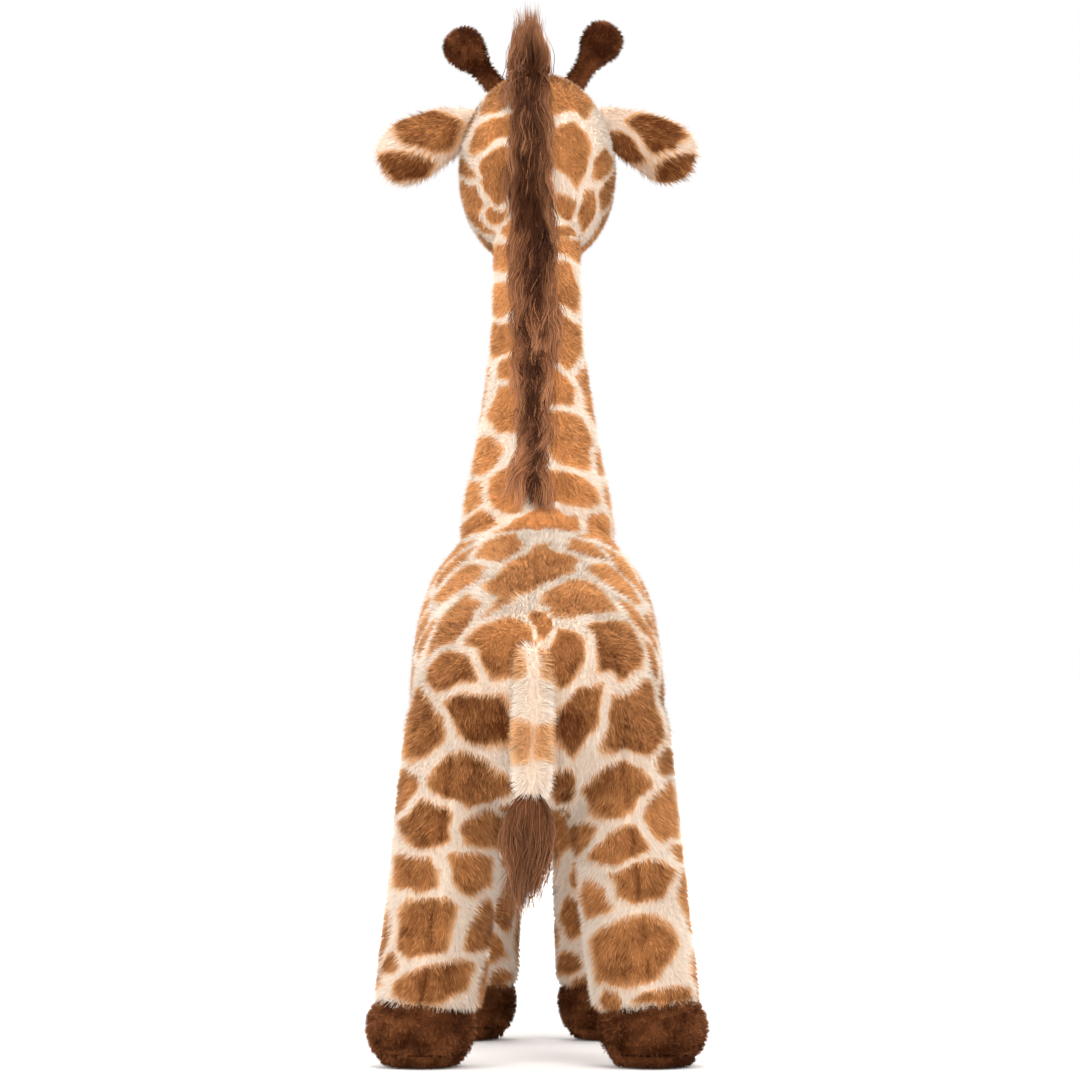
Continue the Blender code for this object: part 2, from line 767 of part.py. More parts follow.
def eye_outline():
    """A glossy dome on a shank, from its crown down its outer side."""
    outline = []
    for step in range(4):
        angle = math.radians(90.0 - 28.0 * step)
        outline.append((EYE_RADIUS * math.cos(angle), EYE_DOME_HEIGHT * math.sin(angle)))
    outline[0] = (0.0, EYE_DOME_HEIGHT)
    outline.append((EYE_RADIUS, 0.0))
    outline.append((EYE_SHANK_RADIUS, 0.0))
    outline.append((EYE_SHANK_RADIUS, -EYE_SHANK_LENGTH))
    outline.append((0.0, -EYE_SHANK_LENGTH))
    return outline


def make_eye(name, side, head_tree, head_skin, head_fill, joint):
    """One safety eye: its shank goes through the head's cloth into a washer on the inside."""
    outside = head_place(EYE_REACH, EYE_RISE)
    outside.x = side * 2.0 * HEAD_HALF_WIDTH
    seat, normal = seat_on(head_tree, outside, (-side, 0.0, 0.0))
    turn = Vector((0.0, 0.0, 1.0)).rotation_difference(normal).to_matrix().to_4x4()
    face = Matrix.Translation(seat + normal * (2.0 * SEAM_GAP)) @ turn
    eye_mesh = turned_mesh(name, eye_outline(), SMALL_TURNED_STEPS)
    eye_mesh.transform(face)
    new_object(name, eye_mesh, EYE_PLASTIC, joint)

    depth = SKIN_WALL + 4.0 * SEAM_GAP
    bore = EYE_SHANK_RADIUS + WASHER_RUNNING_GAP
    ring = [
        (WASHER_RADIUS, 0.0),
        (WASHER_RADIUS, -WASHER_THICKNESS),
        (bore, -WASHER_THICKNESS),
        (bore, 0.0),
    ]
    washer_mesh = turned_mesh(name + "_washer", ring, SMALL_TURNED_STEPS, closed=True)
    washer_mesh.transform(face @ Matrix.Translation((0.0, 0.0, -depth)))
    new_object(name + "_washer", washer_mesh, WASHER, joint)

    hole = face @ Matrix.Translation((0.0, 0.0, -EYE_SHANK_LENGTH - SEAM_GAP))
    radius = EYE_SHANK_RADIUS + SEAM_GAP
    shank_room = new_cutter(
        name + "_shank_room",
        cone_mesh(name + "_shank_room", hole, radius, radius, EYE_SHANK_LENGTH + 2.0 * CUT_OVERRUN),
    )
    pocket = face @ Matrix.Translation((0.0, 0.0, -depth - WASHER_THICKNESS - SEAM_GAP))
    pocket_radius = WASHER_RADIUS + SEAM_GAP
    washer_room = new_cutter(
        name + "_washer_room",
        cone_mesh(name + "_washer_room", pocket, pocket_radius, pocket_radius, CUT_OVERRUN),
    )
    seat_room = new_cutter(
        name + "_seat_room",
        cone_mesh(name + "_seat_room", face, EYE_RADIUS + SEAM_GAP, EYE_RADIUS + SEAM_GAP, CUT_OVERRUN),
    )
    flat_back = face @ Matrix.Translation((0.0, 0.0, -depth + SEAM_GAP - CUT_OVERRUN))
    inner_flat = new_cutter(
        name + "_inner_flat",
        cone_mesh(name + "_inner_flat", flat_back, pocket_radius, pocket_radius, CUT_OVERRUN),
    )
    cut(head_skin, shank_room, seat_room, inner_flat)
    cut(head_fill, shank_room, washer_room)


def make_neck_mane(neck_cutter, joint):
    """The strip of long pile down the back of the neck."""
    base, top, lean = neck_line()
    back = Vector((0.0, math.cos(lean), math.sin(lean)))
    places = []
    for up, fullness in NECK_MANE_SHARES:
        taper = next_taper(up)
        half_depth = between(NECK_BASE_HALF_DEPTH, NECK_TOP_HALF_DEPTH, taper)
        reach = (MANE_NECK_HEIGHT * fullness + MANE_SINK) / 2.0
        centre = base.lerp(top, up) + back * (half_depth - MANE_SINK + reach)
        places.append(station(centre, MANE_HALF_WIDTH * fullness, reach, lean))
    mane = new_object("neck_mane", swept_cage("neck_mane", places, MANE_SIDES), MANE, joint)
    subdivide(mane)
    cut(mane, neck_cutter)


def next_taper(up):
    """The neck's taper at any height, read between its stations."""
    for (low, low_taper), (high, high_taper) in zip(NECK_SHARES, NECK_SHARES[1:]):
        if up <= high:
            return between(low_taper, high_taper, (up - low) / (high - low))
    return NECK_SHARES[-1][1]


def make_head_mane(head_tree, head_cutter, joint):
    """The strip's upper end, over the poll to the forelock between the horns."""
    middle = head_place(between(-HEAD_BACK_REACH, HEAD_NOSE_REACH, SKULL_SHARE), HEAD_BACK_RISE)
    places = []
    for share, growth, fullness in HEAD_MANE_SHARES:
        angle = between(HEAD_MANE_START, HEAD_MANE_END, share)
        out = Vector((0.0, math.cos(angle), math.sin(angle)))
        seat, _ = seat_on(head_tree, middle + out * (3.0 * HEAD_HALF_HEIGHT), -out)
        height = between(MANE_POLL_HEIGHT, FORELOCK_HEIGHT, growth) * fullness
        reach = (height + MANE_SINK) / 2.0
        centre = seat + out * (reach - MANE_SINK)
        places.append(station(centre, MANE_HALF_WIDTH * fullness, reach, angle))
    mane = new_object("head_mane", swept_cage("head_mane", places, MANE_SIDES), MANE, joint)
    subdivide(mane)
    cut(mane, head_cutter)
    return mane


def make_tail(torso_tree):
    """The stuffed tail hangs from a rounded root, and its hair tuft from a ball at its end."""
    behind = (0.0, 2.0 * TORSO_REAR_Y, TAIL_ROOT_Z)
    seat, normal = seat_on(torso_tree, behind, (0.0, -1.0, 0.0))
    root = seat + normal * TAIL_STAND_OFF
    root.x = 0.0
    along = Vector((0.0, math.sin(TAIL_SWEEP_BACK), -math.cos(TAIL_SWEEP_BACK)))
    joint = new_joint("tail_root", root)
    turn = Vector((0.0, 0.0, -1.0)).rotation_difference(along).to_matrix().to_4x4()
    outline = []
    for step in range(5):
        angle = math.radians(90.0 - 22.5 * step)
        outline.append((TAIL_ROOT_RADIUS * math.cos(angle), TAIL_ROOT_RADIUS * math.sin(angle)))
    outline[0] = (0.0, outline[0][1])
    outline.pop()
    for out, down in TAIL_SHARES:
        outline.append((TAIL_RADIUS * out, -TAIL_LENGTH * down))
    outline.append((0.0, -TAIL_LENGTH))
    mesh = turned_mesh("tail", outline, SMALL_TURNED_STEPS)
    mesh.transform(Matrix.Translation(root) @ turn)
    tail = new_object("tail", mesh, PLUSH, joint)
    radii = (TAIL_ROOT_RADIUS,) * 3
    socket = new_cutter("tail_socket", socket_mesh("tail_socket", root, radii))

    pivot = root + along * (TAIL_LENGTH + TUFT_STAND_OFF)
    tuft_joint = new_joint("tuft_root", pivot - root)
    tuft_joint.parent = joint
    tuft_outline = []
    for step in range(5):
        angle = math.radians(90.0 - 22.5 * step)
        tuft_outline.append((TUFT_ROOT_RADIUS * math.cos(angle), TUFT_ROOT_RADIUS * math.sin(angle)))
    tuft_outline[0] = (0.0, tuft_outline[0][1])
    for out, down in TUFT_SHARES:
        tuft_outline.append((TUFT_HALF_WIDTH * out, -TUFT_LENGTH * down))
    tuft_outline.append((0.0, -TUFT_LENGTH))
    tuft_mesh = turned_mesh("tail_tuft", tuft_outline, SMALL_TURNED_STEPS)
    tuft_mesh.transform(Matrix.Diagonal((1.0, TUFT_FLAT_SHARE, 1.0, 1.0)))
    tuft = bpy.data.objects.new("tail_tuft", tuft_mesh)
    GIRAFFE.objects.link(tuft)
    tuft_mesh.materials.append(MANE)
    tuft_mesh.shade_smooth()
    tuft.parent = tuft_joint
    cup_radii = (TUFT_ROOT_RADIUS,) * 3
    cup = new_cutter("tuft_cup", socket_mesh("tuft_cup", pivot, cup_radii))
    cut(tail, cup)
    return socket, root, pivot


clear_scene()
GIRAFFE = new_collection("plush_giraffe")
CUTTERS = new_collection("cutters")
PLUSH = new_material("printed_plush", CARAMEL, 0.95)
LINING = new_material("cream_plush", CREAM, 0.95)
HOOF_PLUSH = new_material("hoof_plush", HOOF_BROWN, 0.95)
HORN_PLUSH = new_material("horn_plush", HOOF_BROWN, 0.95)
MANE = new_material("mane_hair", MANE_BROWN, 0.80)
FIBRE = new_material("fibre_filling", FIBRE_WHITE, 1.0)
POUCH = new_material("weight_pouch", POUCH_GREY, 0.90)
EYE_PLASTIC = new_material("eye_plastic", EYE_BLACK, 0.12)
WASHER = new_material("washer_plastic", WASHER_WHITE, 0.40)

TORSO_STATIONS, TORSO_SKIN, TORSO_FILL = make_torso()
TORSO_CUTTER = form_cutter("torso_outside", TORSO_STATIONS, BODY_SIDES, SEAM_GAP)
for SIDE, SIDE_NAME in ((1.0, "left"), (-1.0, "right")):
    for FRONT, END_NAME in ((True, "front"), (False, "rear")):
        make_leg(END_NAME + "_" + SIDE_NAME, SIDE, FRONT, TORSO_CUTTER)

NECK_BASE, NECK_TOP, _ = neck_line()
NECK_JOINT = new_joint("neck_base", NECK_BASE)
HEAD_JOINT = new_joint("head_base", NECK_TOP)
NECK_STATIONS, NECK_SKIN, NECK_FILL = make_neck(NECK_JOINT)
HEAD_STATIONS, HEAD_SKIN, HEAD_FILL = make_head(HEAD_JOINT)
open_neck_hole(TORSO_SKIN, TORSO_FILL)
NECK_CUTTER = form_cutter("neck_outside", NECK_STATIONS, LIMB_SIDES, SEAM_GAP)
HEAD_CUTTER = form_cutter("head_outside", HEAD_STATIONS, BODY_SIDES, SEAM_GAP)
HEAD_FORM = form_cutter("head_form", HEAD_STATIONS, BODY_SIDES, 0.0)
HEAD_TREE = tree_of(HEAD_FORM)
open_throat(HEAD_SKIN, HEAD_FILL)

TURNING_POINTS = {"neck": NECK_BASE, "head": NECK_TOP}
for SIDE, SIDE_NAME in ((1.0, "left"), (-1.0, "right")):
    EAR_JOINT, SLIT = make_ear(SIDE_NAME + "_ear", SIDE, HEAD_TREE, HEAD_JOINT)
    HORN_PIVOT, SOCKET = make_horn(SIDE_NAME + "_horn", SIDE, HEAD_TREE, HEAD_JOINT)
    cut(HEAD_SKIN, SLIT, SOCKET)
    cut(HEAD_FILL, SLIT, SOCKET)
    make_eye(SIDE_NAME + "_eye", SIDE, HEAD_TREE, HEAD_SKIN, HEAD_FILL, HEAD_JOINT)
    TURNING_POINTS[SIDE_NAME + "_ear"] = EAR_JOINT.location + NECK_TOP
    TURNING_POINTS[SIDE_NAME + "_horn"] = HORN_PIVOT

make_neck_mane(NECK_CUTTER, NECK_JOINT)
make_head_mane(HEAD_TREE, HEAD_CUTTER, HEAD_JOINT)
TORSO_FORM = form_cutter("torso_form", TORSO_STATIONS, BODY_SIDES, 0.0)
TAIL_SOCKET, TURNING_POINTS["tail"], TURNING_POINTS["tuft"] = make_tail(tree_of(TORSO_FORM))
cut(TORSO_SKIN, TAIL_SOCKET)
cut(TORSO_FILL, TAIL_SOCKET)

for NAME, PLACE in TURNING_POINTS.items():
    print("turning point", NAME, [round(value, 5) for value in PLACE])
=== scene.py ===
"""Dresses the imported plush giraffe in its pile, print, mane, hooves, horns and face, and sets its studio."""

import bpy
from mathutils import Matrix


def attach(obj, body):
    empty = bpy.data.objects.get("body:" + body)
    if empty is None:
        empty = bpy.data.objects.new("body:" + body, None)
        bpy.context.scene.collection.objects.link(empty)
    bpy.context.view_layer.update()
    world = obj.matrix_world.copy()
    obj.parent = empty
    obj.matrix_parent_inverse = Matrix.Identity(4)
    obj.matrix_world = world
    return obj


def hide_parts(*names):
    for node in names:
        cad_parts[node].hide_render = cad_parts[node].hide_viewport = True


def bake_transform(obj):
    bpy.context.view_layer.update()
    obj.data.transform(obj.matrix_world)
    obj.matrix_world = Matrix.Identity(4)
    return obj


bl_info = {
    "name": "Plush Giraffe Workshop",
    "version": (1, 0, 0),
    "blender": (4, 5, 0),
    "location": "View3D > Sidebar > Giraffe",
    "description": "Sews a standing plush giraffe over its pattern: skins, pile, spots, mane and face",
    "category": "Object",
}

import math

import bmesh
import bpy
import numpy as np
from bpy.props import FloatProperty, FloatVectorProperty, IntProperty, PointerProperty
from mathutils import Matrix, Vector
from mathutils.bvhtree import BVHTree
from mathutils.kdtree import KDTree

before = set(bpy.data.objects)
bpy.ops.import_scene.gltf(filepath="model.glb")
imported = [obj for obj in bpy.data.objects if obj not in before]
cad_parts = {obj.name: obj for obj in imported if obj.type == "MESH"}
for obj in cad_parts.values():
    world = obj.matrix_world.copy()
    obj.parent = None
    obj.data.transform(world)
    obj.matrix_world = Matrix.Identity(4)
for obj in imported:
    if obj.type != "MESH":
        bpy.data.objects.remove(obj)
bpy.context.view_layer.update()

# The photograph's frame and camera
PHOTO_SIDE = 1080
CAMERA_PLACE = (-0.0016, 3.72, 0.279)
CAMERA_LENS = 225.6
SENSOR_WIDTH = 36.0

# Places that the pattern gives: the neck's two bending points and the line between them
NECK_BASE = np.array((0.0, -0.0495, 0.2980))
NECK_TOP = np.array((0.0, -0.0795, 0.4560))
NECK_AXIS = (NECK_TOP - NECK_BASE) / np.linalg.norm(NECK_TOP - NECK_BASE)
NECK_MIDDLE = NECK_BASE * 0.45 + NECK_TOP * 0.55

# Each ring of a stuffed form: centre y and z, half width, half height, and turn about X in degrees
TORSO_RINGS = (
    (0.1805, 0.1890, 0.0180, 0.0185, 90.0),
    (0.1690, 0.1898, 0.0450, 0.0425, 90.0),
    (0.1380, 0.1920, 0.0632, 0.0550, 90.0),
    (0.0812, 0.2030, 0.0650, 0.0612, 90.0),
    (0.0170, 0.2154, 0.0644, 0.0672, 90.0),
    (-0.0473, 0.2236, 0.0618, 0.0692, 90.0),
    (-0.0910, 0.2222, 0.0430, 0.0510, 90.0),
    (-0.1100, 0.2195, 0.0170, 0.0200, 90.0),
)
HEAD_RINGS = (
    (-0.0530, 0.4970, 0.0125, 0.0140, 95.0),
    (-0.0620, 0.4957, 0.0310, 0.0362, 95.0),
    (-0.0850, 0.4912, 0.0412, 0.0508, 98.0),
    (-0.1134, 0.4853, 0.0430, 0.0518, 101.0),
    (-0.1441, 0.4759, 0.0398, 0.0428, 104.0),
    (-0.1714, 0.4664, 0.0330, 0.0320, 106.0),
    (-0.1986, 0.4588, 0.0298, 0.0268, 106.0),
    (-0.2150, 0.4542, 0.0235, 0.0212, 106.0),
    (-0.2215, 0.4522, 0.0110, 0.0100, 106.0),
)

# Each neck ring: place from base to top, half width and half depth
NECK_RINGS = (
    (-0.22, 0.0430, 0.0500),
    (0.00, 0.0392, 0.0452),
    (0.23, 0.0322, 0.0368),
    (0.55, 0.0254, 0.0294),
    (0.80, 0.0236, 0.0272),
    (1.10, 0.0226, 0.0262),
)

# Each leg: hoof x and y, hip x, y and z, and the thigh's half width and half depth
LEGS = {
    "rear": ((0.0615, 0.1365), (0.0362, 0.1235, 0.2140), (0.0284, 0.0380)),
    "front": ((0.0405, -0.0635), (0.0330, -0.0555, 0.2200), (0.0272, 0.0336)),
}
ANKLE = (0.0272, 0.0270)
CUFF_HEIGHT = 0.0305

# Each leg ring: place from cuff to hip, and how far the leg has swollen to its thigh and its fullness
LEG_RINGS = (
    (0.00, -0.10, 0.90),
    (0.04, 0.02, 1.00),
    (0.30, 0.20, 1.00),
    (0.62, 0.78, 1.00),
    (0.86, 1.00, 0.95),
    (1.00, 1.00, 0.50),
)

# Printed spots as the photograph shows them from behind: x, y, half length, half width in its
# pixels, and the tilt of the length in degrees, clockwise from across
SEEN_SPOTS = {
    "body": (
        (546, 521, 45, 12, -4), (475, 527, 22, 10, -30), (600, 533, 19, 11, 55),
        (500, 548, 21, 11, -16), (581, 550, 20, 9, 15), (449, 562, 13, 6, -47),
        (531, 573, 40, 17, -8), (456, 586, 31, 10, -44), (620, 586, 30, 10, 44),
        (578, 598, 33, 16, 6), (458, 618, 34, 13, -46), (499, 643, 29, 27, -50),
        (540, 622, 10, 14, 0), (618, 643, 32, 22, 56), (569, 655, 27, 22, -62),
        (449, 669, 25, 18, -21), (636, 719, 36, 27, -66), (584, 712, 36, 21, -62),
        (476, 716, 30, 24, 30), (419, 727, 33, 18, -88), (415, 660, 12, 26, 12),
        (468, 781, 46, 25, 6), (619, 790, 35, 25, -25), (565, 793, 17, 12, 81),
        (666, 757, 14, 9, -69), (665, 811, 27, 16, -80), (424, 821, 28, 21, 0),
        (493, 829, 24, 17, -6), (469, 872, 25, 22, -40), (416, 873, 28, 17, 14),
        (428, 926, 42, 28, -35), (484, 926, 16, 25, 30), (437, 981, 44, 19, -18),
        (389, 963, 13, 9, -78), (619, 847, 26, 19, -12), (650, 878, 44, 21, -24),
        (593, 897, 16, 15, 10), (631, 950, 47, 28, -18), (693, 953, 14, 9, -64),
        (687, 905, 12, 7, -79), (670, 996, 34, 10, -16), (650, 660, 9, 22, -12),
        (403, 790, 8, 20, 10), (676, 850, 8, 14, 0), (610, 1000, 12, 9, 60),
        (575, 835, 16, 14, 0), (572, 918, 12, 20, 0), (502, 912, 12, 25, 0),
        (500, 975, 14, 12, 0), (570, 965, 12, 12, 0), (645, 620, 8, 15, -30),
        (428, 640, 9, 20, 25),
    ),
    "neck": (
        (497, 92, 22, 11, -58), (569, 90, 25, 13, 35), (490, 130, 28, 12, -36),
        (570, 148, 28, 19, 76), (497, 177, 27, 18, -84), (469, 202, 24, 10, 73),
        (559, 203, 21, 12, 52), (589, 209, 17, 7, -77), (565, 230, 14, 8, 10),
        (609, 190, 19, 6, -74), (605, 164, 12, 8, -73), (607, 113, 15, 10, 62),
        (465, 170, 13, 7, 53), (494, 214, 18, 8, -14), (500, 254, 15, 13, -20),
        (504, 296, 17, 12, -22), (499, 338, 19, 15, -30), (512, 368, 14, 10, -20),
        (509, 408, 20, 23, 0), (485, 455, 19, 11, -62), (507, 492, 24, 18, -60),
        (564, 286, 26, 17, 66), (570, 345, 26, 13, 82), (559, 388, 26, 16, 26),
        (567, 438, 34, 20, 50), (566, 488, 30, 19, 4), (592, 398, 7, 13, 0),
        (486, 385, 8, 18, 8), (576, 246, 10, 12, 30), (598, 462, 7, 13, -8),
        (535, 330, 14, 14, 0), (536, 450, 12, 14, 0), (474, 492, 8, 15, 12),
    ),
    "left_ear": ((425, 125, 31, 18, 6), (406, 164, 26, 14, 5), (438, 102, 15, 5, 2)),
    "right_ear": ((657, 131, 28, 14, 29), (676, 167, 24, 14, -20), (622, 148, 18, 9, 29)),
}

# A spot's outline: its sides, how sharp its corners are, how far out it ends, how far it stays from
# the next spot, how widely the dye fades, and the print's value at the edge
SPOT_SIDES = 5
SPOT_SHARPNESS = 20.0
SPOT_END = 1.13
SPOT_PARTING = 0.29
SPOT_FADING = 0.50
SPOT_EDGE = 0.30

# How many points are held against every spot in one go, so that little memory is used
POINTS_AT_ONCE = 20000

# The most slanted cloth that a spot is stretched over as the photograph shows it
STEEPEST = 0.28

# The spots out of the photograph's sight, spread evenly by the print's own spacing, and how clear of
# a seen spot they start
SPARE_SPOT_SPACING = 0.0315
SPARE_SPOT_LENGTH = 0.0205
SPARE_SPOT_WIDTH = 0.0165
SPARE_SPOT_TRIES = 5000
SPARE_SPOT_CLEARANCE = 1.85

# Ears: root, droop, lean of the sewn line, length, half width, half the sewn line's length, and rows
# of place from root to tip, half width as a share, half thickness and cup depth
EAR_ROOT = (0.0388, -0.0985, 0.5105)
EAR_DROOP = math.radians(20.0)
EAR_HINGE_LEAN = math.radians(20.6)
EAR_LENGTH = 0.0525
EAR_HALF_WIDTH = 0.0182
EAR_SLIT_HALF_LENGTH = 0.0135
EAR_ROWS = (
    (-0.07, 0.50, 0.0016, 0.0000),
    (0.02, 0.72, 0.0026, 0.0008),
    (0.18, 0.92, 0.0036, 0.0024),
    (0.46, 1.07, 0.0040, 0.0058),
    (0.74, 1.00, 0.0036, 0.0050),
    (0.93, 0.66, 0.0026, 0.0022),
    (1.00, 0.30, 0.0014, 0.0010),
)

# Horns: height and depth of the foot, each one's foot aside, lean and ball's place up it, rows
# of place up the stalk and radius, and rows of place from the ball's middle and radius
HORN_FOOT_Y, HORN_FOOT_Z = -0.1085, 0.5300
HORNS = {"left": (0.0190, math.radians(39.0), 0.0358), "right": (0.0166, math.radians(33.0), 0.0372)}
STALK_ROWS = ((-0.0060, 0.0040), (0.0000, 0.0060), (0.0080, 0.0054), (0.0175, 0.0053))
BALL_ROWS = (
    (-0.0112, 0.0072), (-0.0062, 0.0098), (0.0000, 0.0109), (0.0062, 0.0091), (0.0098, 0.0042),
)

# Hooves: rows of height and radius for the upper and for the sole
HOOF_ROWS = (
    (0.0075, 0.0160), (0.0078, 0.0232), (0.0100, 0.0248), (0.0140, 0.0264), (0.0195, 0.0277),
    (0.0255, 0.0272), (0.0310, 0.0250), (0.0370, 0.0198), (0.0405, 0.0100),
)
SOLE_ROWS = (
    (0.0004, 0.0080), (0.0004, 0.0150), (0.0012, 0.0176), (0.0032, 0.0206), (0.0054, 0.0222),
    (0.0071, 0.0226), (0.0074, 0.0150),
)

# Tail: root, sweep back from hanging straight, the way that gives, rows of place down it and radius,
# and where the tuft is knotted in and how long it is
TAIL_ROOT = (0.0022, 0.1775, 0.2190)
TAIL_SWEEP = math.radians(22.0)
TAIL_WAY = Vector((0.0, math.sin(TAIL_SWEEP), -math.cos(TAIL_SWEEP)))
TAIL_ROWS = (
    (-0.0020, 0.0050), (0.0080, 0.0074), (0.0220, 0.0078), (0.0330, 0.0088), (0.0480, 0.0080),
    (0.0610, 0.0082), (0.0720, 0.0080), (0.0790, 0.0040),
)
TUFT_PLACE = 0.0765
TUFT_LENGTH = 0.0785

# The tail's two caramel bands: top and bottom height, half width of the pale line down each, and how
# pale that line is
TAIL_BANDS = ((0.2275, 0.2050, 0.0026, 1.00), (0.1890, 0.1605, 0.0016, 0.45))

# The seams down the legs: end, which way they face, top, and how far outside the leg's middle
LEG_SEAMS = (("rear", 1.0, 0.172, 0.0030), ("front", -1.0, 0.160, 0.0))

# The face: an eye's middle, a nostril's stitches and the mouth's stitches from side to side, as x
# and z, and how thick and how proud each line of thread is
EYE_PLACE = (0.0365, -0.1485, 0.4930)
NOSTRIL_STITCHES = ((0.0070, 0.4660), (0.0098, 0.4692), (0.0128, 0.4690), (0.0148, 0.4658))
NOSTRIL_THREAD = (0.0014, 0.0022)
MOUTH_STITCHES = ((-0.0165, 0.4475), (-0.0100, 0.4440), (0.0, 0.4428), (0.0100, 0.4440), (0.0165, 0.4475))
MOUTH_THREAD = (0.0009, 0.0020)
AHEAD_OF_FACE = -0.30
THREAD_COLOUR = (0.17, 0.075, 0.040)

# Mane: its foot, waist and top on the neck, how far aside it runs there and over the skull, and its
# run over the skull
MANE_FOOT_HEIGHT = 0.3110
MANE_TOP_HEIGHT = 0.4560
MANE_HEIGHTS = (MANE_FOOT_HEIGHT, 0.36, MANE_TOP_HEIGHT)
MANE_ASIDE = 0.0020
SKULL_MANE_ASIDE = 0.0046
SKULL_CENTRE = (0.0, -0.0950, 0.4870)
NAPE_ANGLE = math.radians(-30.0)
FORELOCK_ANGLE = math.radians(118.0)

# Long hair: the points along a hair, how deep it is rooted, and the locks and the hairs in each
HAIR_POINTS = 9
HAIR_SINK = 0.001
NECK_LOCKS = (230, 32)
HEAD_LOCKS = (210, 34)
TUFT_LOCKS = (130, 30)

# How locks lie: by what share of its length a hair has turned, its curl, the size and length of a
# lock's waves, how far a lock draws together, and the seed
NECK_STYLE = (0.42, 0.34, 0.0017, 0.026, 0.62, 607)
HEAD_STYLE = (0.44, 0.26, 0.0014, 0.026, 0.55, 619)
TUFT_STYLE = (0.66, 0.30, 0.0010, 0.030, 0.36, 547)

# Sewing: the rings between two given ones, the skin's own mesh and how it is relaxed, and its seams
FORM_STEPS = 5
SKIN_VOXEL = 0.0026
SKIN_SMOOTHING = 16
SEAM_DEPTH = 0.0013
SEAM_WIDTH = 0.0022
HOOF_SEAM_DEPTH = 0.0009
HOOF_SEAM_WIDTH = 0.0016

# Stuffing: how much smaller the skin starts, the coarse cloth it is blown up on, and how far it may move
STUFFING_SHRINK = 0.0002
STUFFING_VOXEL = 0.0050
STUFFING_PRESSURE = 4.0
STUFFING_FRAMES = 20
STUFFING_CAP = 0.0030

# Pile: how deep a strand is rooted, how it gathers, how its shade varies, and how the brown pile stands
ROOT_SINK = 0.0004
CLUMP_SIZE = 0.0026
CLUMP_PULL = 0.42
MOTTLING = 0.28
SHORT_BROWN_LENGTH = 0.0026
BROWN_LIFT = math.radians(52.0)
BROWN_CLUMP_SIZE = 0.0034
BROWN_CLUMP_PULL = 0.58
TAIL_LIFT = math.radians(58.0)
TAIL_CLUMP_PULL = 0.30

# Where one pile ends and the next begins: heights, and how far back the body is parted in two
HEAD_PILE_FOOT = 0.445
NECK_PILE_FOOT = 0.268
LEG_PILE_TOP = 0.150
BODY_PARTING_Y = 0.035

# Studio: each lamp's name, place, size and power, where they all aim, and the floor's half side
LAMPS = (
    ("Key lamp", (-0.9, 2.0, 1.9), 1.3, 35.0),
    ("Fill lamp", (1.7, 1.7, 1.3), 1.6, 24.0),
    ("Left side lamp", (2.2, -0.9, 0.5), 1.4, 34.0),
    ("Right side lamp", (-2.2, -0.9, 0.5), 1.4, 34.0),
    ("Top lamp", (0.0, 0.6, 2.3), 1.4, 30.0),
    ("Far lamp", (0.3, -2.2, 1.7), 1.8, 34.0),
)
LAMP_COLOUR = (1.0, 0.965, 0.93)
LAMP_AIM = Vector((0.0, 0.0, 0.27))
FLOOR_HALF = 6.0

# What one operator leaves for the next: the whole skin, for rays to meet
made = {}


def fade(value):
    """A smooth step from 0 to 1."""
    value = np.clip(value, 0.0, 1.0)
    return value * value * (3.0 - 2.0 * value)


def unit(vectors):
    return vectors / np.maximum(np.linalg.norm(vectors, axis=-1, keepdims=True), 1e-9)


def soft_noise(points, size, seed):
    """Smooth noise from -1 to 1 at each point, its lumps about this size."""
    lattice = np.random.RandomState(seed).rand(24, 24, 24) * 2.0 - 1.0
    place = points / size + 512.37
    cell = np.floor(place).astype(int)
    part = place - cell
    part = part * part * (3.0 - 2.0 * part)
    total = np.zeros(len(points))
    for corner in range(8):
        step = np.array((corner & 1, corner >> 1 & 1, corner >> 2 & 1))
        index = (cell + step) % 24
        weight = np.prod(np.where(step == 1, part, 1.0 - part), axis=1)
        total += weight * lattice[index[:, 0], index[:, 1], index[:, 2]]
    return total


def noise_vectors(points, size, seed):
    return np.stack([soft_noise(points, size, seed + axis) for axis in range(3)], axis=1)


def through(values, steps):
    """A smooth run through rows of values, with this many steps from each to the next."""
    rows = np.array(values, float)
    ends = np.vstack((2.0 * rows[0] - rows[1], rows, 2.0 * rows[-1] - rows[-2]))
    run = []
    for index in range(1, len(ends) - 2):
        before, here, there, after = ends[index - 1:index + 3]
        for step in range(steps):
            t = step / steps
            run.append(
                0.5 * (
                    2.0 * here + (there - before) * t
                    + (2.0 * before - 5.0 * here + 4.0 * there - after) * t ** 2
                    + (3.0 * here - before - 3.0 * there + after) * t ** 3
                )
            )
    run.append(rows[-1])
    return np.array(run)


def in_scene(name, data):
    """A new object with this data, linked to the scene."""
    obj = bpy.data.objects.new(name, data)
    bpy.context.scene.collection.objects.link(obj)
    return obj


def mesh_object(name, points, faces, smooth=True):
    mesh = bpy.data.meshes.new(name)
    mesh.from_pydata([tuple(point) for point in points], [], faces)
    mesh.validate()
    if smooth:
        mesh.shade_smooth()
    return in_scene(name, mesh)


def move_points(obj, places):
    obj.data.vertices.foreach_set("co", places.ravel())
    obj.data.update()


def tube_faces(rings, sides):
    """The quads between each ring of points and the next."""
    faces = []
    for low in range(0, (rings - 1) * sides, sides):
        for side in range(sides):
            after = (side + 1) % sides
            faces.append((low + side, low + after, low + sides + after, low + sides + side))
    return faces


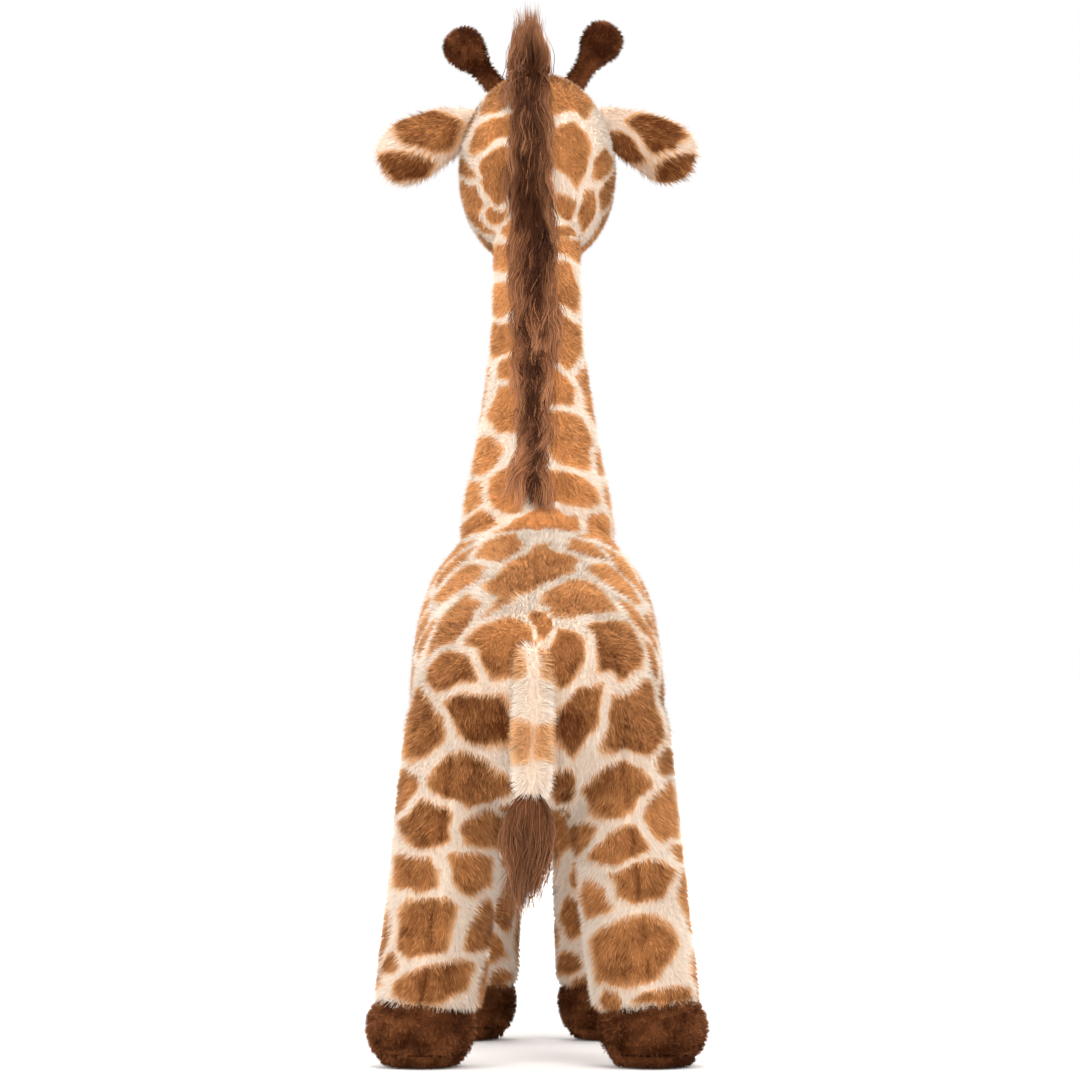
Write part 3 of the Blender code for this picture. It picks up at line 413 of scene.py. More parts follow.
def stuffed_form(name, rings, sides=36):
    """A closed form through rings of (x, y, z, half width, half depth, turn about X in degrees)."""
    run = through(rings, FORM_STEPS)
    angles = np.arange(sides) * math.tau / sides
    points = []
    for x, y, z, half_width, half_depth, turn in run:
        turn = math.radians(turn)
        across = half_width * np.cos(angles)
        deep = half_depth * np.sin(angles)
        points.append(np.stack((x + across, y + deep * math.cos(turn), z + deep * math.sin(turn)), axis=1))
    points = list(np.vstack(points)) + [run[0][:3], run[-1][:3]]
    faces = tube_faces(len(run), sides)
    low = len(run) * sides
    high, last = low + 1, low - sides
    for side in range(sides):
        after = (side + 1) % sides
        faces.append((after, side, low))
        faces.append((last + side, last + after, high))
    return mesh_object(name, points, faces)


def applied(obj):
    """Leaves the object with its modified mesh and no modifiers."""
    bpy.context.view_layer.update()
    graph = bpy.context.evaluated_depsgraph_get()
    mesh = bpy.data.meshes.new_from_object(obj.evaluated_get(graph))
    old = obj.data
    obj.modifiers.clear()
    obj.data = mesh
    mesh.name = obj.name
    bpy.data.meshes.remove(old)
    mesh.shade_smooth()
    return obj


def remeshed(obj, voxel, smoothing=0):
    """Gives the object one even skin, relaxed as many times as asked."""
    remesh = obj.modifiers.new("One skin", "REMESH")
    remesh.mode = "VOXEL"
    remesh.voxel_size = voxel
    if smoothing:
        relax = obj.modifiers.new("Relaxed", "SMOOTH")
        relax.factor = 0.5
        relax.iterations = smoothing
    return applied(obj)


def sewn_together(name, forms):
    """One smooth closed skin round all these forms."""
    points, faces, start = [], [], 0
    for form in forms:
        points += [tuple(form.matrix_world @ vertex.co) for vertex in form.data.vertices]
        faces += [tuple(start + index for index in face.vertices) for face in form.data.polygons]
        start = len(points)
        bpy.data.objects.remove(form)
    return remeshed(mesh_object(name, points, faces), SKIN_VOXEL, SKIN_SMOOTHING)


def blown_up(skin, held):
    """Blows a skin up as stuffed cloth: pressure swells a coarse copy, held where the mask is 1."""
    places, normals, _ = mesh_arrays(skin.data)
    places = places - normals * (STUFFING_SHRINK * (1.0 - held(places, normals)))[:, None]
    move_points(skin, places)
    faces = [tuple(face.vertices) for face in skin.data.polygons]
    coarse = remeshed(mesh_object("coarse_skin", places, faces), STUFFING_VOXEL)
    start, start_normals, _ = mesh_arrays(coarse.data)
    group = coarse.vertex_groups.new(name="Held")
    for index, weight in enumerate(held(start, start_normals)):
        group.add([index], float(weight), "REPLACE")
    cloth = coarse.modifiers.new("Stuffing", "CLOTH")
    cloth.settings.quality = 5
    cloth.settings.mass = 0.3
    cloth.settings.use_pressure = True
    cloth.settings.uniform_pressure_force = STUFFING_PRESSURE
    cloth.settings.effector_weights.gravity = 0.0
    cloth.settings.vertex_group_mass = "Held"
    cloth.collision_settings.use_collision = False
    cloth.point_cache.frame_start = 1
    cloth.point_cache.frame_end = STUFFING_FRAMES
    scene = bpy.context.scene
    for number in range(1, STUFFING_FRAMES + 1):
        scene.frame_set(number)
    graph = bpy.context.evaluated_depsgraph_get()
    swollen = bpy.data.meshes.new_from_object(coarse.evaluated_get(graph))
    moved = mesh_arrays(swollen)[0] - start
    scene.frame_set(1)
    bpy.data.objects.remove(coarse)
    bpy.data.meshes.remove(swollen)
    far = np.linalg.norm(moved, axis=1)
    moved *= (STUFFING_CAP * np.tanh(far / STUFFING_CAP) / np.maximum(far, 1e-9))[:, None]
    near = KDTree(len(start))
    for index, place in enumerate(start):
        near.insert(Vector(place), index)
    near.balance()
    for row, place in enumerate(places):
        found = near.find_n(Vector(place), 4)
        weights = np.array([1.0 / (gap + 0.0005) for _, _, gap in found])
        chosen = [index for _, index, _ in found]
        places[row] += (moved[chosen] * weights[:, None]).sum(0) / weights.sum()
    move_points(skin, places)


def held_by_seams(points, normals):
    """Where the sewn skin can't swell: along its seams, at the eyes and the muzzle, and in the hooves."""
    seam = np.exp(-(seam_gap(points, normals) / 0.0045) ** 2)
    hoof = fade((0.046 - points[:, 2]) / 0.012)
    muzzle = fade((-0.120 - points[:, 1]) / 0.025)
    return np.clip(np.maximum(np.maximum(seam, hoof), muzzle), 0.0, 1.0)


def mesh_arrays(mesh):
    """Vertex places and normals, and the corners of each triangle."""
    count = len(mesh.vertices)
    places = np.empty(count * 3)
    mesh.vertices.foreach_get("co", places)
    normals = np.empty(count * 3)
    mesh.vertex_normals.foreach_get("vector", normals)
    mesh.calc_loop_triangles()
    triangles = np.empty(len(mesh.loop_triangles) * 3, dtype=np.int32)
    mesh.loop_triangles.foreach_get("vertices", triangles)
    return places.reshape(-1, 3), normals.reshape(-1, 3), triangles.reshape(-1, 3)


def set_values(mesh, name, values):
    """A value at each vertex, for a material to read."""
    layer = mesh.attributes.get(name) or mesh.attributes.new(name, "FLOAT", "POINT")
    layer.data.foreach_set("value", np.asarray(values, np.float32))


def tree_of(obj):
    mesh = obj.data
    corners = [obj.matrix_world @ vertex.co for vertex in mesh.vertices]
    return BVHTree.FromPolygons(corners, [tuple(face.vertices) for face in mesh.polygons])


def struck(tree, start, way):
    """Where a ray meets the cloth, and the cloth's normal on the ray's side."""
    place, normal, _, _ = tree.ray_cast(start, way)
    if place is None:
        return None, None
    return place, -normal if normal.dot(way) > 0.0 else normal


def camera_ray(x, y):
    """The way from the camera to a pixel of the photograph."""
    centre = PHOTO_SIDE / 2.0
    half = SENSOR_WIDTH / 2.0 / CAMERA_LENS
    return Vector(((centre - x) / centre * half, -1.0, (centre - y) / centre * half)).normalized()


def spot_on(tree, x, y, length, width, tilt):
    """A printed spot's middle on the cloth, its two half axes along the cloth, and the cloth's normal."""
    eye, way = Vector(CAMERA_PLACE), camera_ray(x, y)
    place, normal = struck(tree, eye, way)
    if place is None:
        return None
    facing = max(-normal.dot(way), STEEPEST)
    axes = []
    for half, angle in ((length, math.radians(tilt)), (width, math.radians(tilt + 90.0))):
        aside = camera_ray(x + half * math.cos(angle), y + half * math.sin(angle))
        reach = (place - eye).length
        step = aside * reach - way * reach
        step -= way * step.dot(way)
        slant = step.dot(normal)
        axes.append(step + way * (slant / facing))
    return place, axes[0], axes[1], normal


class SpotPrint:
    """The printed spots of one skin: their middles, axes and normals."""

    def __init__(self):
        self.middles, self.firsts, self.seconds, self.normals = [], [], [], []

    def add(self, place, first, second, normal):
        self.middles.append(tuple(place))
        self.firsts.append(tuple(first))
        self.seconds.append(tuple(second))
        self.normals.append(tuple(normal))

    def distances(self, points, normals):
        """How far each point is from each spot, where 1 is the spot's own edge."""
        middles, firsts = np.array(self.middles), np.array(self.firsts)
        seconds, spot_normals = np.array(self.seconds), np.array(self.normals)
        first_square = (firsts * firsts).sum(1)
        second_square = (seconds * seconds).sum(1)
        product = (firsts * seconds).sum(1)
        ground = np.maximum(first_square * second_square - product * product, 1e-12)[:, None]
        dual_first = (firsts * second_square[:, None] - seconds * product[:, None]) / ground
        dual_second = (seconds * first_square[:, None] - firsts * product[:, None]) / ground
        size = np.sqrt(np.sqrt(first_square * second_square))
        random = np.random.RandomState(len(middles))
        turns = random.rand(len(middles))[:, None] * math.tau
        turns = turns + np.arange(SPOT_SIDES) * math.tau / SPOT_SIDES
        turns += random.uniform(-0.22, 0.22, turns.shape)
        reach = random.uniform(0.94, 1.17, turns.shape)
        side_s, side_t = np.cos(turns) / reach, np.sin(turns) / reach
        result = np.empty((len(points), len(middles)), np.float32)
        for start in range(0, len(points), POINTS_AT_ONCE):
            part = slice(start, start + POINTS_AT_ONCE)
            apart = points[part, None, :] - middles[None, :, :]
            s = (apart * dual_first).sum(2)
            t = (apart * dual_second).sum(2)
            depth = (apart * spot_normals).sum(2) / size
            turn = 1.0 - normals[part] @ spot_normals.T
            flat = np.zeros_like(s)
            for side in range(SPOT_SIDES):
                flat += np.maximum(s * side_s[:, side] + t * side_t[:, side], 0.0) ** SPOT_SHARPNESS
            flat = flat ** (2.0 / SPOT_SHARPNESS)
            result[part] = np.sqrt(flat + 0.3 * depth * depth + 1.4 * turn * turn)
        return result

    def mask(self, points, normals, seed):
        """How deep inside a spot each point is, SPOT_EDGE at its edge and 1 in its heart, and its tone."""
        wavy = points + 0.0018 * noise_vectors(points, 0.012, seed)
        wavy += 0.0008 * noise_vectors(points, 0.005, seed + 7)
        apart = self.distances(wavy, normals)
        nearest = np.partition(apart, 1, axis=1)[:, :2]
        inside = (SPOT_END - nearest[:, 0]) / SPOT_FADING + SPOT_EDGE
        between = (nearest[:, 1] - nearest[:, 0] - SPOT_PARTING) / SPOT_FADING + SPOT_EDGE
        tones = np.random.RandomState(seed).uniform(-0.13, 0.13, apart.shape[1])
        return np.clip(np.minimum(inside, between), 0.0, 1.0), tones[apart.argmin(1)]


def spare_spots(spots, points, normals, seed):
    """Adds spots over whatever of this skin the photograph doesn't show."""
    random = np.random.RandomState(seed)
    order = random.permutation(len(points))[:SPARE_SPOT_TRIES]
    apart = spots.distances(points[order], normals[order]).min(1)
    chosen = []
    for rank, index in enumerate(order):
        if apart[rank] < SPARE_SPOT_CLEARANCE:
            continue
        place, normal = points[index], normals[index]
        spacing = SPARE_SPOT_SPACING * (0.88 + 0.3 * random.rand())
        if chosen and np.linalg.norm(np.array(chosen) - place, axis=1).min() < spacing:
            continue
        chosen.append(place)
        across = unit(np.cross(normal, (0.0, 0.0, 1.0)) + 0.02)
        up = np.cross(across, normal)
        angle = random.uniform(-1.1, 1.1)
        length = SPARE_SPOT_LENGTH * random.uniform(0.85, 1.2)
        width = SPARE_SPOT_WIDTH * random.uniform(0.85, 1.2)
        first = (across * math.cos(angle) + up * math.sin(angle)) * length
        second = (up * math.cos(angle) - across * math.sin(angle)) * width
        spots.add(place, first, second, normal)


def seam_gap(points, normals):
    """Each point's distance from the nearest seam of the body, neck and head."""
    x, y, z = points.T
    gaps = []
    spine = np.abs(x - 0.0004)
    gaps.append(np.where((normals[:, 2] > 0.25) & (z > 0.2) & (z < 0.31) & (y > -0.02), spine, 1.0))
    belly = np.abs(x)
    gaps.append(np.where((normals[:, 2] < -0.3) & (z > 0.11) & (z < 0.2), belly, 1.0))
    share = z / LEGS["rear"][1][2]
    for side in (-1.0, 1.0):
        for end, facing, top, aside in LEG_SEAMS:
            (hoof_x, _), hip, _ = LEGS[end]
            line = side * (hoof_x + (hip[0] - hoof_x) * share) + aside * side
            seamed = (facing * normals[:, 1] > 0.45) & (z < top) & (side * x > 0.0)
            gaps.append(np.where(seamed, np.abs(x - line), 1.0))
    along = (points - NECK_BASE) @ NECK_AXIS
    collar = np.abs(along + 0.012 + 0.18 * np.abs(x) - 0.05 * (y - NECK_BASE[1]))
    gaps.append(np.where((np.abs(x) < 0.055) & (y < 0.02) & (z > 0.26), collar, 1.0))
    nape = np.abs(z - 0.4640 + 0.45 * np.abs(x) ** 1.2 - 0.30 * (y + 0.05))
    gaps.append(np.where((y > -0.11) & (z > 0.43), nape, 1.0))
    return np.min(np.stack(gaps), axis=0)


def lying(way, normals):
    """The part of each way that runs along the cloth."""
    return unit(way - normals * (way * normals).sum(1, keepdims=True))


def combing(points, normals):
    """Which way the pile lies at each point: down the limbs, and back from the face."""
    x, _, z = points.T
    way = np.zeros_like(points)
    way[:, 2] = -1.0
    on_body = fade((z - 0.13) / 0.05) * fade((0.33 - z) / 0.05)
    way[:, 1] += 0.55 * on_body
    on_head = fade((z - 0.43) / 0.03)
    way[:, 1] += 0.9 * on_head
    way[:, 2] += 0.2 * on_head
    way[:, 0] += 0.25 * np.sign(x) * on_head
    way += 0.60 * noise_vectors(points, 0.016, 91)
    way += 0.60 * noise_vectors(points, 0.006, 17)
    return lying(way, normals)


def scattered(places, normals, triangles, per_square_metre, seed, keep=None):
    """Roots spread evenly over a mesh: places, normals, and each root's triangle and its weights there."""
    random = np.random.RandomState(seed)
    corners = places[triangles]
    sides = corners[:, 1:] - corners[:, :1]
    areas = np.linalg.norm(np.cross(sides[:, 0], sides[:, 1]), axis=1) / 2.0
    if keep is not None:
        areas = areas * keep[triangles].mean(1)
    count = int(areas.sum() * per_square_metre)
    steps = (np.arange(count) + random.rand(count)) / count
    chosen = np.searchsorted(np.cumsum(areas) / areas.sum(), steps)
    chosen = np.minimum(chosen, len(triangles) - 1)
    first, second = random.rand(count), random.rand(count)
    over = first + second > 1.0
    first[over], second[over] = 1.0 - first[over], 1.0 - second[over]
    weights = np.stack((1.0 - first - second, first, second), axis=1)
    roots = (corners[chosen] * weights[:, :, None]).sum(1)
    root_normals = unit((normals[triangles[chosen]] * weights[:, :, None]).sum(1))
    return roots, root_normals, triangles[chosen], weights


def drawn_to_clumps(roots, tips, size, pull, seed):
    """Moves tips towards the middle of their neighbours' tips, as brushed pile gathers."""
    warped = roots + 0.8 * size * noise_vectors(roots, size * 2.3, seed)
    cells = np.floor(warped / size + 4096.0).astype(np.int64)
    keys = (cells[:, 0] << 40) + (cells[:, 1] << 20) + cells[:, 2]
    _, group = np.unique(keys, return_inverse=True)
    members = np.bincount(group)
    middles = np.stack([np.bincount(group, tips[:, axis]) / members for axis in range(3)], axis=1)
    return tips + (middles[group] - tips) * pull[:, None]


def three_round(ways, random):
    """Three unit vectors round each way, turned at random from strand to strand."""
    turned = random.randn(len(ways), *(1,) * (ways.ndim - 2), 3)
    aside = unit(np.cross(ways, unit(turned)))
    other = np.cross(ways, aside)
    angles = np.array((0.0, math.tau / 3.0, 2.0 * math.tau / 3.0))[:, None]
    return aside[..., None, :] * np.cos(angles) + other[..., None, :] * np.sin(angles)


def strand_object(name, points, around, facing, faces, marks, along, values):
    """One mesh of many strands, each with its own small square of the bake.

    Points and the vectors around have a row for each strand. Faces, their places in the square and the
    values along the strand are those of one strand, and the other values are one for each strand.
    """
    count, each = points.shape[:2]
    corners = ((np.arange(count) * each)[:, None, None] + np.array(faces)[None]).reshape(-1, 3)
    mesh = bpy.data.meshes.new(name)
    mesh.vertices.add(count * each)
    mesh.vertices.foreach_set("co", points.ravel())
    mesh.loops.add(corners.size)
    mesh.loops.foreach_set("vertex_index", corners.ravel().astype(np.int32))
    mesh.polygons.add(len(corners))
    mesh.polygons.foreach_set("loop_start", np.arange(len(corners), dtype=np.int32) * 3)
    mesh.update(calc_edges=True)
    mesh.shade_smooth()
    shading = np.concatenate((around, np.zeros((count, 1, 3))), axis=1) + facing[:, None, :]
    mesh.normals_split_custom_set_from_vertices(unit(shading.reshape(-1, 3)))
    set_values(mesh, "along", np.tile(along, count))
    for key, row in values.items():
        set_values(mesh, key, np.repeat(row, each))
    across = int(math.ceil(math.sqrt(count)))
    index = np.arange(count)
    corner = np.stack((index % across, index // across), axis=1) / across
    squares = corner[:, None, :] + np.array(marks).reshape(-1, 2)[None] / across
    mesh.uv_layers.new(name="OFBake").data.foreach_set("uv", squares.reshape(-1).astype(np.float32))
    return in_scene(name, mesh)


def pile_object(name, roots, tips, facing, radius, values, seed):
    """Three-sided tapering strands from roots to tips, shaded mostly as the cloth below them."""
    count = len(roots)
    random = np.random.RandomState(seed)
    ring = three_round(unit(tips - roots), random)
    thick = radius * random.uniform(0.7, 1.3, count)
    points = np.concatenate((roots[:, None, :] + ring * thick[:, None, None], tips[:, None, :]), axis=1)
    marks = [((0.12, 0.12), (0.88, 0.12), (0.5, 0.88))] * 3
    values = {"strand": random.rand(count), **values}
    faces = ((0, 1, 3), (1, 2, 3), (2, 0, 3))
    return strand_object(name, points, 0.85 * ring, facing, faces, marks, (0.0, 0.0, 0.0, 1.0), values)


def facing_out(mesh):
    """Turns every face outwards."""
    bm = bmesh.new()
    bm.from_mesh(mesh)
    bmesh.ops.recalc_face_normals(bm, faces=bm.faces)
    bm.to_mesh(mesh)
    bm.free()
    mesh.shade_smooth()


def turned_form(name, rows, place):
    """A form turned about the Z axis of its place, through rows of (along, radius)."""
    form = stuffed_form(name, [(0.0, 0.0, up, radius, radius, 0.0) for up, radius in rows], sides=32)
    form.data.transform(place)
    facing_out(form.data)
    return form


def in_rows(x, y, z):
    """A row of x, y and z for each point, from columns and single numbers."""
    return np.stack(np.broadcast_arrays(x, y, z), axis=1)


def new_locks(seed, locks_and_each):
    """A random source, how many locks and hairs there are, and which lock each hair is in."""
    locks, each = locks_and_each
    return np.random.RandomState(seed), locks, locks * each, np.repeat(np.arange(locks), each)


def hair_paths(roots, starts, ends, lengths, turn, curl, seed):
    """Each hair's path: it leaves along its start and turns towards its end, with a slow curl."""
    steps = HAIR_POINTS - 1
    place = roots.copy()
    paths = [place]
    for index in range(steps):
        share = fade(np.full(len(roots), (index + 0.5) / steps) / turn)[:, None]
        way = unit(starts * (1.0 - share) + ends * share + curl * noise_vectors(place, 0.010, seed))
        place = place + way * (lengths / steps)[:, None]
        paths.append(place)
    return np.stack(paths, axis=1)


def waved_locks(paths, locks, size, length, seed):
    """Sways each lock from side to side in waves of about this size and length, more towards its end."""
    random = np.random.RandomState(seed)
    steps = np.linalg.norm(np.diff(paths, axis=1), axis=2)
    run = np.concatenate((np.zeros((len(paths), 1)), np.cumsum(steps, axis=1)), axis=1)
    count = locks.max() + 1
    phase = random.uniform(0.0, math.tau, count)[locks][:, None]
    wave = (length * random.uniform(0.75, 1.35, count))[locks][:, None]
    swing = (size * random.uniform(0.4, 1.3, count))[locks][:, None] * fade(run / 0.012)
    turn = phase + math.tau * run / wave
    paths[:, :, 0] += swing * (np.sin(turn) - np.sin(phase))
    paths[:, :, 1] += 0.4 * swing * (np.cos(turn) - np.cos(phase))
    return paths


def laid_over(paths, tree, clear):
    """Lifts every point that would lie in the skin, or closer to it than its hair's clearance."""
    for hair in range(len(paths)):
        for index in range(1, paths.shape[1]):
            place, normal, _, _ = tree.find_nearest(Vector(paths[hair, index]))
            depth = clear[hair] - (Vector(paths[hair, index]) - place).dot(normal)
            if depth > 0.0:
                paths[hair, index] += np.array(normal) * depth
    return paths


def gathered_locks(paths, locks, pull):
    """Draws the hairs of each lock together towards their tips."""
    members = np.bincount(locks)
    points = paths.shape[1]
    for index in range(1, points):
        share = pull * (index / (points - 1)) ** 0.8
        middle = np.stack(
            [np.bincount(locks, paths[:, index, axis]) / members for axis in range(3)], axis=1
        )
        paths[:, index] += (middle[locks] - paths[:, index]) * share
    return paths


def styled_hair(roots, starts, ends, lengths, locks, style):
    """The hairs' paths, waved and gathered lock by lock as the style says."""
    turn, curl, wave_size, wave_length, pull, seed = style
    paths = hair_paths(roots, starts, ends, lengths, turn, curl, seed)
    paths = waved_locks(paths, locks, wave_size, wave_length, seed + 4)
    return gathered_locks(paths, locks, pull)


def hair_object(name, paths, facing, radius, shade, seed):
    """Three-sided tapering hairs along their paths, each ending in a point."""
    count, points = paths.shape[:2]
    random = np.random.RandomState(seed)
    ring = three_round(unit(np.gradient(paths, axis=1)), random)
    along = np.linspace(0.0, 1.0, points)
    taper = 1.0 - 0.75 * along ** 1.5
    thick = radius * random.uniform(0.65, 1.35, count)
    rings = paths[:, :, None, :] + ring * (thick[:, None] * taper[None, :])[:, :, None, None]
    verts = np.concatenate((rings[:, :-1].reshape(count, -1, 3), paths[:, -1:, :]), axis=1)
    tip = verts.shape[1] - 1
    faces, marks = [], []
    for row in range(points - 1):
        low, high = 0.1 + 0.8 * along[row], 0.1 + 0.8 * along[row + 1]
        for side in range(3):
            left, right = 0.1 + 0.8 * side / 3.0, 0.1 + 0.8 * (side + 1) / 3.0
            a, b = row * 3 + side, row * 3 + (side + 1) % 3
            if row == points - 2:
                faces.append((a, b, tip))
                marks.append(((left, low), (right, low), ((left + right) / 2.0, high)))
            else:
                faces += [(a, b, b + 3), (a, b + 3, a + 3)]
                marks.append(((left, low), (right, low), (right, high)))
                marks.append(((left, low), (right, high), (left, high)))
    around = 0.9 * ring[:, :-1].reshape(count, -1, 3)
    lengthwise = np.append(np.repeat(along[:-1], 3), 1.0)
    values = {"strand": random.rand(count), "shade": np.clip(shade, 0.0, 1.0)}
    return strand_object(name, verts, around, facing, faces, marks, lengthwise, values)


def mixed(values, triangles, weights):
    """Vertex values read at scattered roots."""
    return (values[triangles] * weights).sum(1)


def rgba(colour):
    return (*colour, 1.0)


def add_node(tree, kind, place, inputs=None, **settings):
    """A node with its settings. Each input is given a value, or a socket to link from."""
    node = tree.nodes.new(kind)
    node.location = place
    for key, value in settings.items():
        setattr(node, key, value)
    for key, value in (inputs or {}).items():
        if isinstance(value, bpy.types.NodeSocket):
            tree.links.new(value, node.inputs[key])
        else:
            node.inputs[key].default_value = value
    return node


def colour_between(tree, place, factor, first, second):
    """A colour on its way from the first to the second."""
    inputs = {"Factor": factor, "A": first, "B": second}
    return add_node(tree, "ShaderNodeMix", place, inputs, data_type="RGBA").outputs["Result"]


def rising(tree, place, value, low=0.0, high=1.0, start=0.0, end=1.0, **settings):
    """A value that goes from start to end as the given one goes from low to high."""
    inputs = {"Value": value, "From Min": low, "From Max": high, "To Min": start, "To Max": end}
    return add_node(tree, "ShaderNodeMapRange", place, inputs, **settings).outputs["Result"]


def math_node(tree, place, operation, *values):
    return add_node(tree, "ShaderNodeMath", place, dict(enumerate(values)), operation=operation).outputs[0]


def vertex_value(tree, name, place):
    """A value that the mesh keeps at each vertex."""
    return add_node(tree, "ShaderNodeAttribute", place, attribute_name=name).outputs["Fac"]


def object_place(tree):
    return add_node(tree, "ShaderNodeTexCoord", (-900, 0)).outputs["Object"]


def shared_group(name, inputs, build):
    """A node group that puts out a colour, built the first time that a material asks for it."""
    group = bpy.data.node_groups.get(name)
    if group is None:
        group = bpy.data.node_groups.new(name, "ShaderNodeTree")
        for title, default in inputs.items():
            kind = "NodeSocketColor" if isinstance(default, tuple) else "NodeSocketFloat"
            socket = group.interface.new_socket(name=title, in_out="INPUT", socket_type=kind)
            socket.default_value = default
        group.interface.new_socket(name="Colour", in_out="OUTPUT", socket_type="NodeSocketColor")
        given = add_node(group, "NodeGroupInput", (-900, 0)).outputs
        add_node(group, "NodeGroupOutput", (600, 0), {"Colour": build(group, given)})
    return group


def pile_tint(group, given):
    """How a pile's colour changes from strand to strand and from root to tip, with painted shade darkening the
    roots and the tips painted lighter.
    """
    bright = add_node(
        group, "ShaderNodeCombineColor", (-620, -200),
        {part: given["Tip shade"] for part in ("Red", "Green", "Blue")},
    )
    depth = add_node(
        group, "ShaderNodeMix", (-450, -60),
        {"Factor": given["Along"], "A": given["Root tint"], "B": bright.outputs["Color"]},
        data_type="RGBA", clamp_result=False,
    )
    tinted = add_node(
        group, "ShaderNodeVectorMath", (-200, 60), {0: given["Colour"], 1: depth.outputs["Result"]},
        operation="MULTIPLY",
    )
    centred = math_node(group, (-450, -320), "SUBTRACT", given["Strand"], 0.5)
    spread = math_node(group, (-270, -320), "MULTIPLY_ADD", centred, given["Spread"], 1.0)
    tint = add_node(
        group, "ShaderNodeVectorMath", (200, 0), {0: tinted.outputs[0], "Scale": spread}, operation="SCALE"
    )
    return tint.outputs[0]


def giraffe_print(group, given):
    """Cream and caramel as printed, with a warmer rim where the dye thins out, and painted shade that darkens
    the cream towards Shaded cream where the shade value is high.
    """
    heart = colour_between(group, (-450, 150), given["Shade"], given["Caramel"], given["Deep caramel"])
    low = rising(group, (-450, -100), given["Spot"], 0.20, 0.40)
    high = rising(group, (-450, -350), given["Spot"], 0.38, 0.80)
    # Painted shade: the cream darkens towards Shaded cream as the shade value rises past 0.62
    dim = rising(group, (-700, -600), given["Shade"], 0.62, 1.12)
    ground = colour_between(group, (-450, -600), dim, given["Cream"], given["Shaded cream"])
    rim = colour_between(group, (-150, 0), low, ground, given["Rim"])
    return colour_between(group, (200, 0), high, rim, heart)


PILE_TINT_INPUTS = {
    "Colour": (0.8, 0.8, 0.8, 1.0),
    "Strand": 0.5,
    "Along": 0.5,
    "Root tint": (0.5, 0.4, 0.3, 1.0),
    "Tip shade": 1.1,
    "Spread": 0.25,
}
PRINT_INPUTS = {
    "Spot": 0.0,
    "Shade": 0.5,
    "Cream": (0.8, 0.7, 0.6, 1.0),
    "Shaded cream": (0.7, 0.5, 0.4, 1.0),
    "Rim": (0.7, 0.4, 0.2, 1.0),
    "Caramel": (0.5, 0.2, 0.1, 1.0),
    "Deep caramel": (0.3, 0.1, 0.05, 1.0),
}


def new_material(name, roughness, sheen=0.0, sheen_roughness=0.5, specular=0.5):
    material = bpy.data.materials.new(name)
    material.use_nodes = True
    shader = material.node_tree.nodes["Principled BSDF"]
    for key, value in (
        ("Roughness", roughness), ("Sheen Weight", sheen), ("Sheen Roughness", sheen_roughness),
        ("Specular IOR Level", specular),
    ):
        shader.inputs[key].default_value = value
    return material, material.node_tree, shader


def tint_strands(tree, shader, strands, inputs):
    """Tints a pile's colour with painted shade at the roots; only strands have a tip and are unlike each
    other, not the cloth below.
    """
    if strands:
        inputs["Strand"] = vertex_value(tree, "strand", (-560, -200))
        inputs["Along"] = vertex_value(tree, "along", (-560, -400))
    group = shared_group("Pile tint", PILE_TINT_INPUTS, pile_tint)
    tint = add_node(tree, "ShaderNodeGroup", (-280, 100), inputs, node_tree=group)
    tree.links.new(tint.outputs["Colour"], shader.inputs["Base Color"])


def plush_material(name, settings, strands=True):
    """Printed pile: on strands with painted shade darkening their roots, on the cloth under them at the roots'
    painted shade.
    """
    material, tree, shader = new_material(name, 0.95, sheen=0.05, sheen_roughness=0.4, specular=0.1)
    spot = vertex_value(tree, "spot", (-1000, 200))
    colours = {
        "Spot": spot,
        "Shade": vertex_value(tree, "shade", (-1000, 0)),
        "Cream": rgba(settings.cream),
        "Shaded cream": rgba(settings.shaded_cream),
        "Rim": rgba(settings.rim),
        "Caramel": rgba(settings.caramel),
        "Deep caramel": rgba(settings.deep_caramel),
    }
    group = shared_group("Giraffe print", PRINT_INPUTS, giraffe_print)
    printed = add_node(tree, "ShaderNodeGroup", (-560, 100), colours, node_tree=group)
    dyed = rising(tree, (-800, -600), spot, 0.25, 0.60)
    # Painted shade at the roots: darker under the spots than under the cream
    roots = colour_between(
        tree, (-560, -600), dyed, rgba(settings.cream_root_tint), rgba(settings.root_tint)
    )
    spread = rising(tree, (-560, -850), dyed, start=settings.cream_spread, end=settings.strand_spread)
    tint_strands(tree, shader, strands, {
        "Colour": printed.outputs["Colour"], "Root tint": roots, "Spread": spread,
        "Tip shade": settings.tip_shade, "Along": 0.25,
    })
    return material


def plain_pile_material(name, settings, strands=True, roughness=0.9):
    """One-colour pile that runs from a dark to a light shade of itself."""
    material, tree, shader = new_material(name, roughness, sheen_roughness=0.4, specular=0.05)
    shade = vertex_value(tree, "shade", (-800, 0))
    tint_strands(tree, shader, strands, {
        "Colour": colour_between(tree, (-560, 100), shade, rgba(settings.dark), rgba(settings.light)),
        "Root tint": rgba(settings.root_tint), "Spread": settings.strand_spread,
        "Tip shade": settings.tip_shade, "Along": 0.2,
    })
    return material


def thread_material(name, colour):
    """Embroidery thread: fine slanting strands with a soft gloss."""
    material, tree, shader = new_material(name, 0.55, sheen=0.2, sheen_roughness=0.3, specular=0.4)
    wave = add_node(
        tree, "ShaderNodeTexWave", (-700, 0),
        {"Vector": object_place(tree), "Scale": 900.0, "Distortion": 1.5}, bands_direction="DIAGONAL",
    ).outputs["Fac"]
    # Painted shade: the wave's low bands, the grooves between the strands, are darker
    shaded = rgba([0.45 * part for part in colour])
    twisted = colour_between(tree, (-400, 100), wave, shaded, rgba(colour))
    tree.links.new(twisted, shader.inputs["Base Color"])
    inputs = {"Strength": 0.5, "Distance": 0.0004, "Height": wave}
    bump = add_node(tree, "ShaderNodeBump", (-400, -200), inputs)
    tree.links.new(bump.outputs["Normal"], shader.inputs["Normal"])
    return material


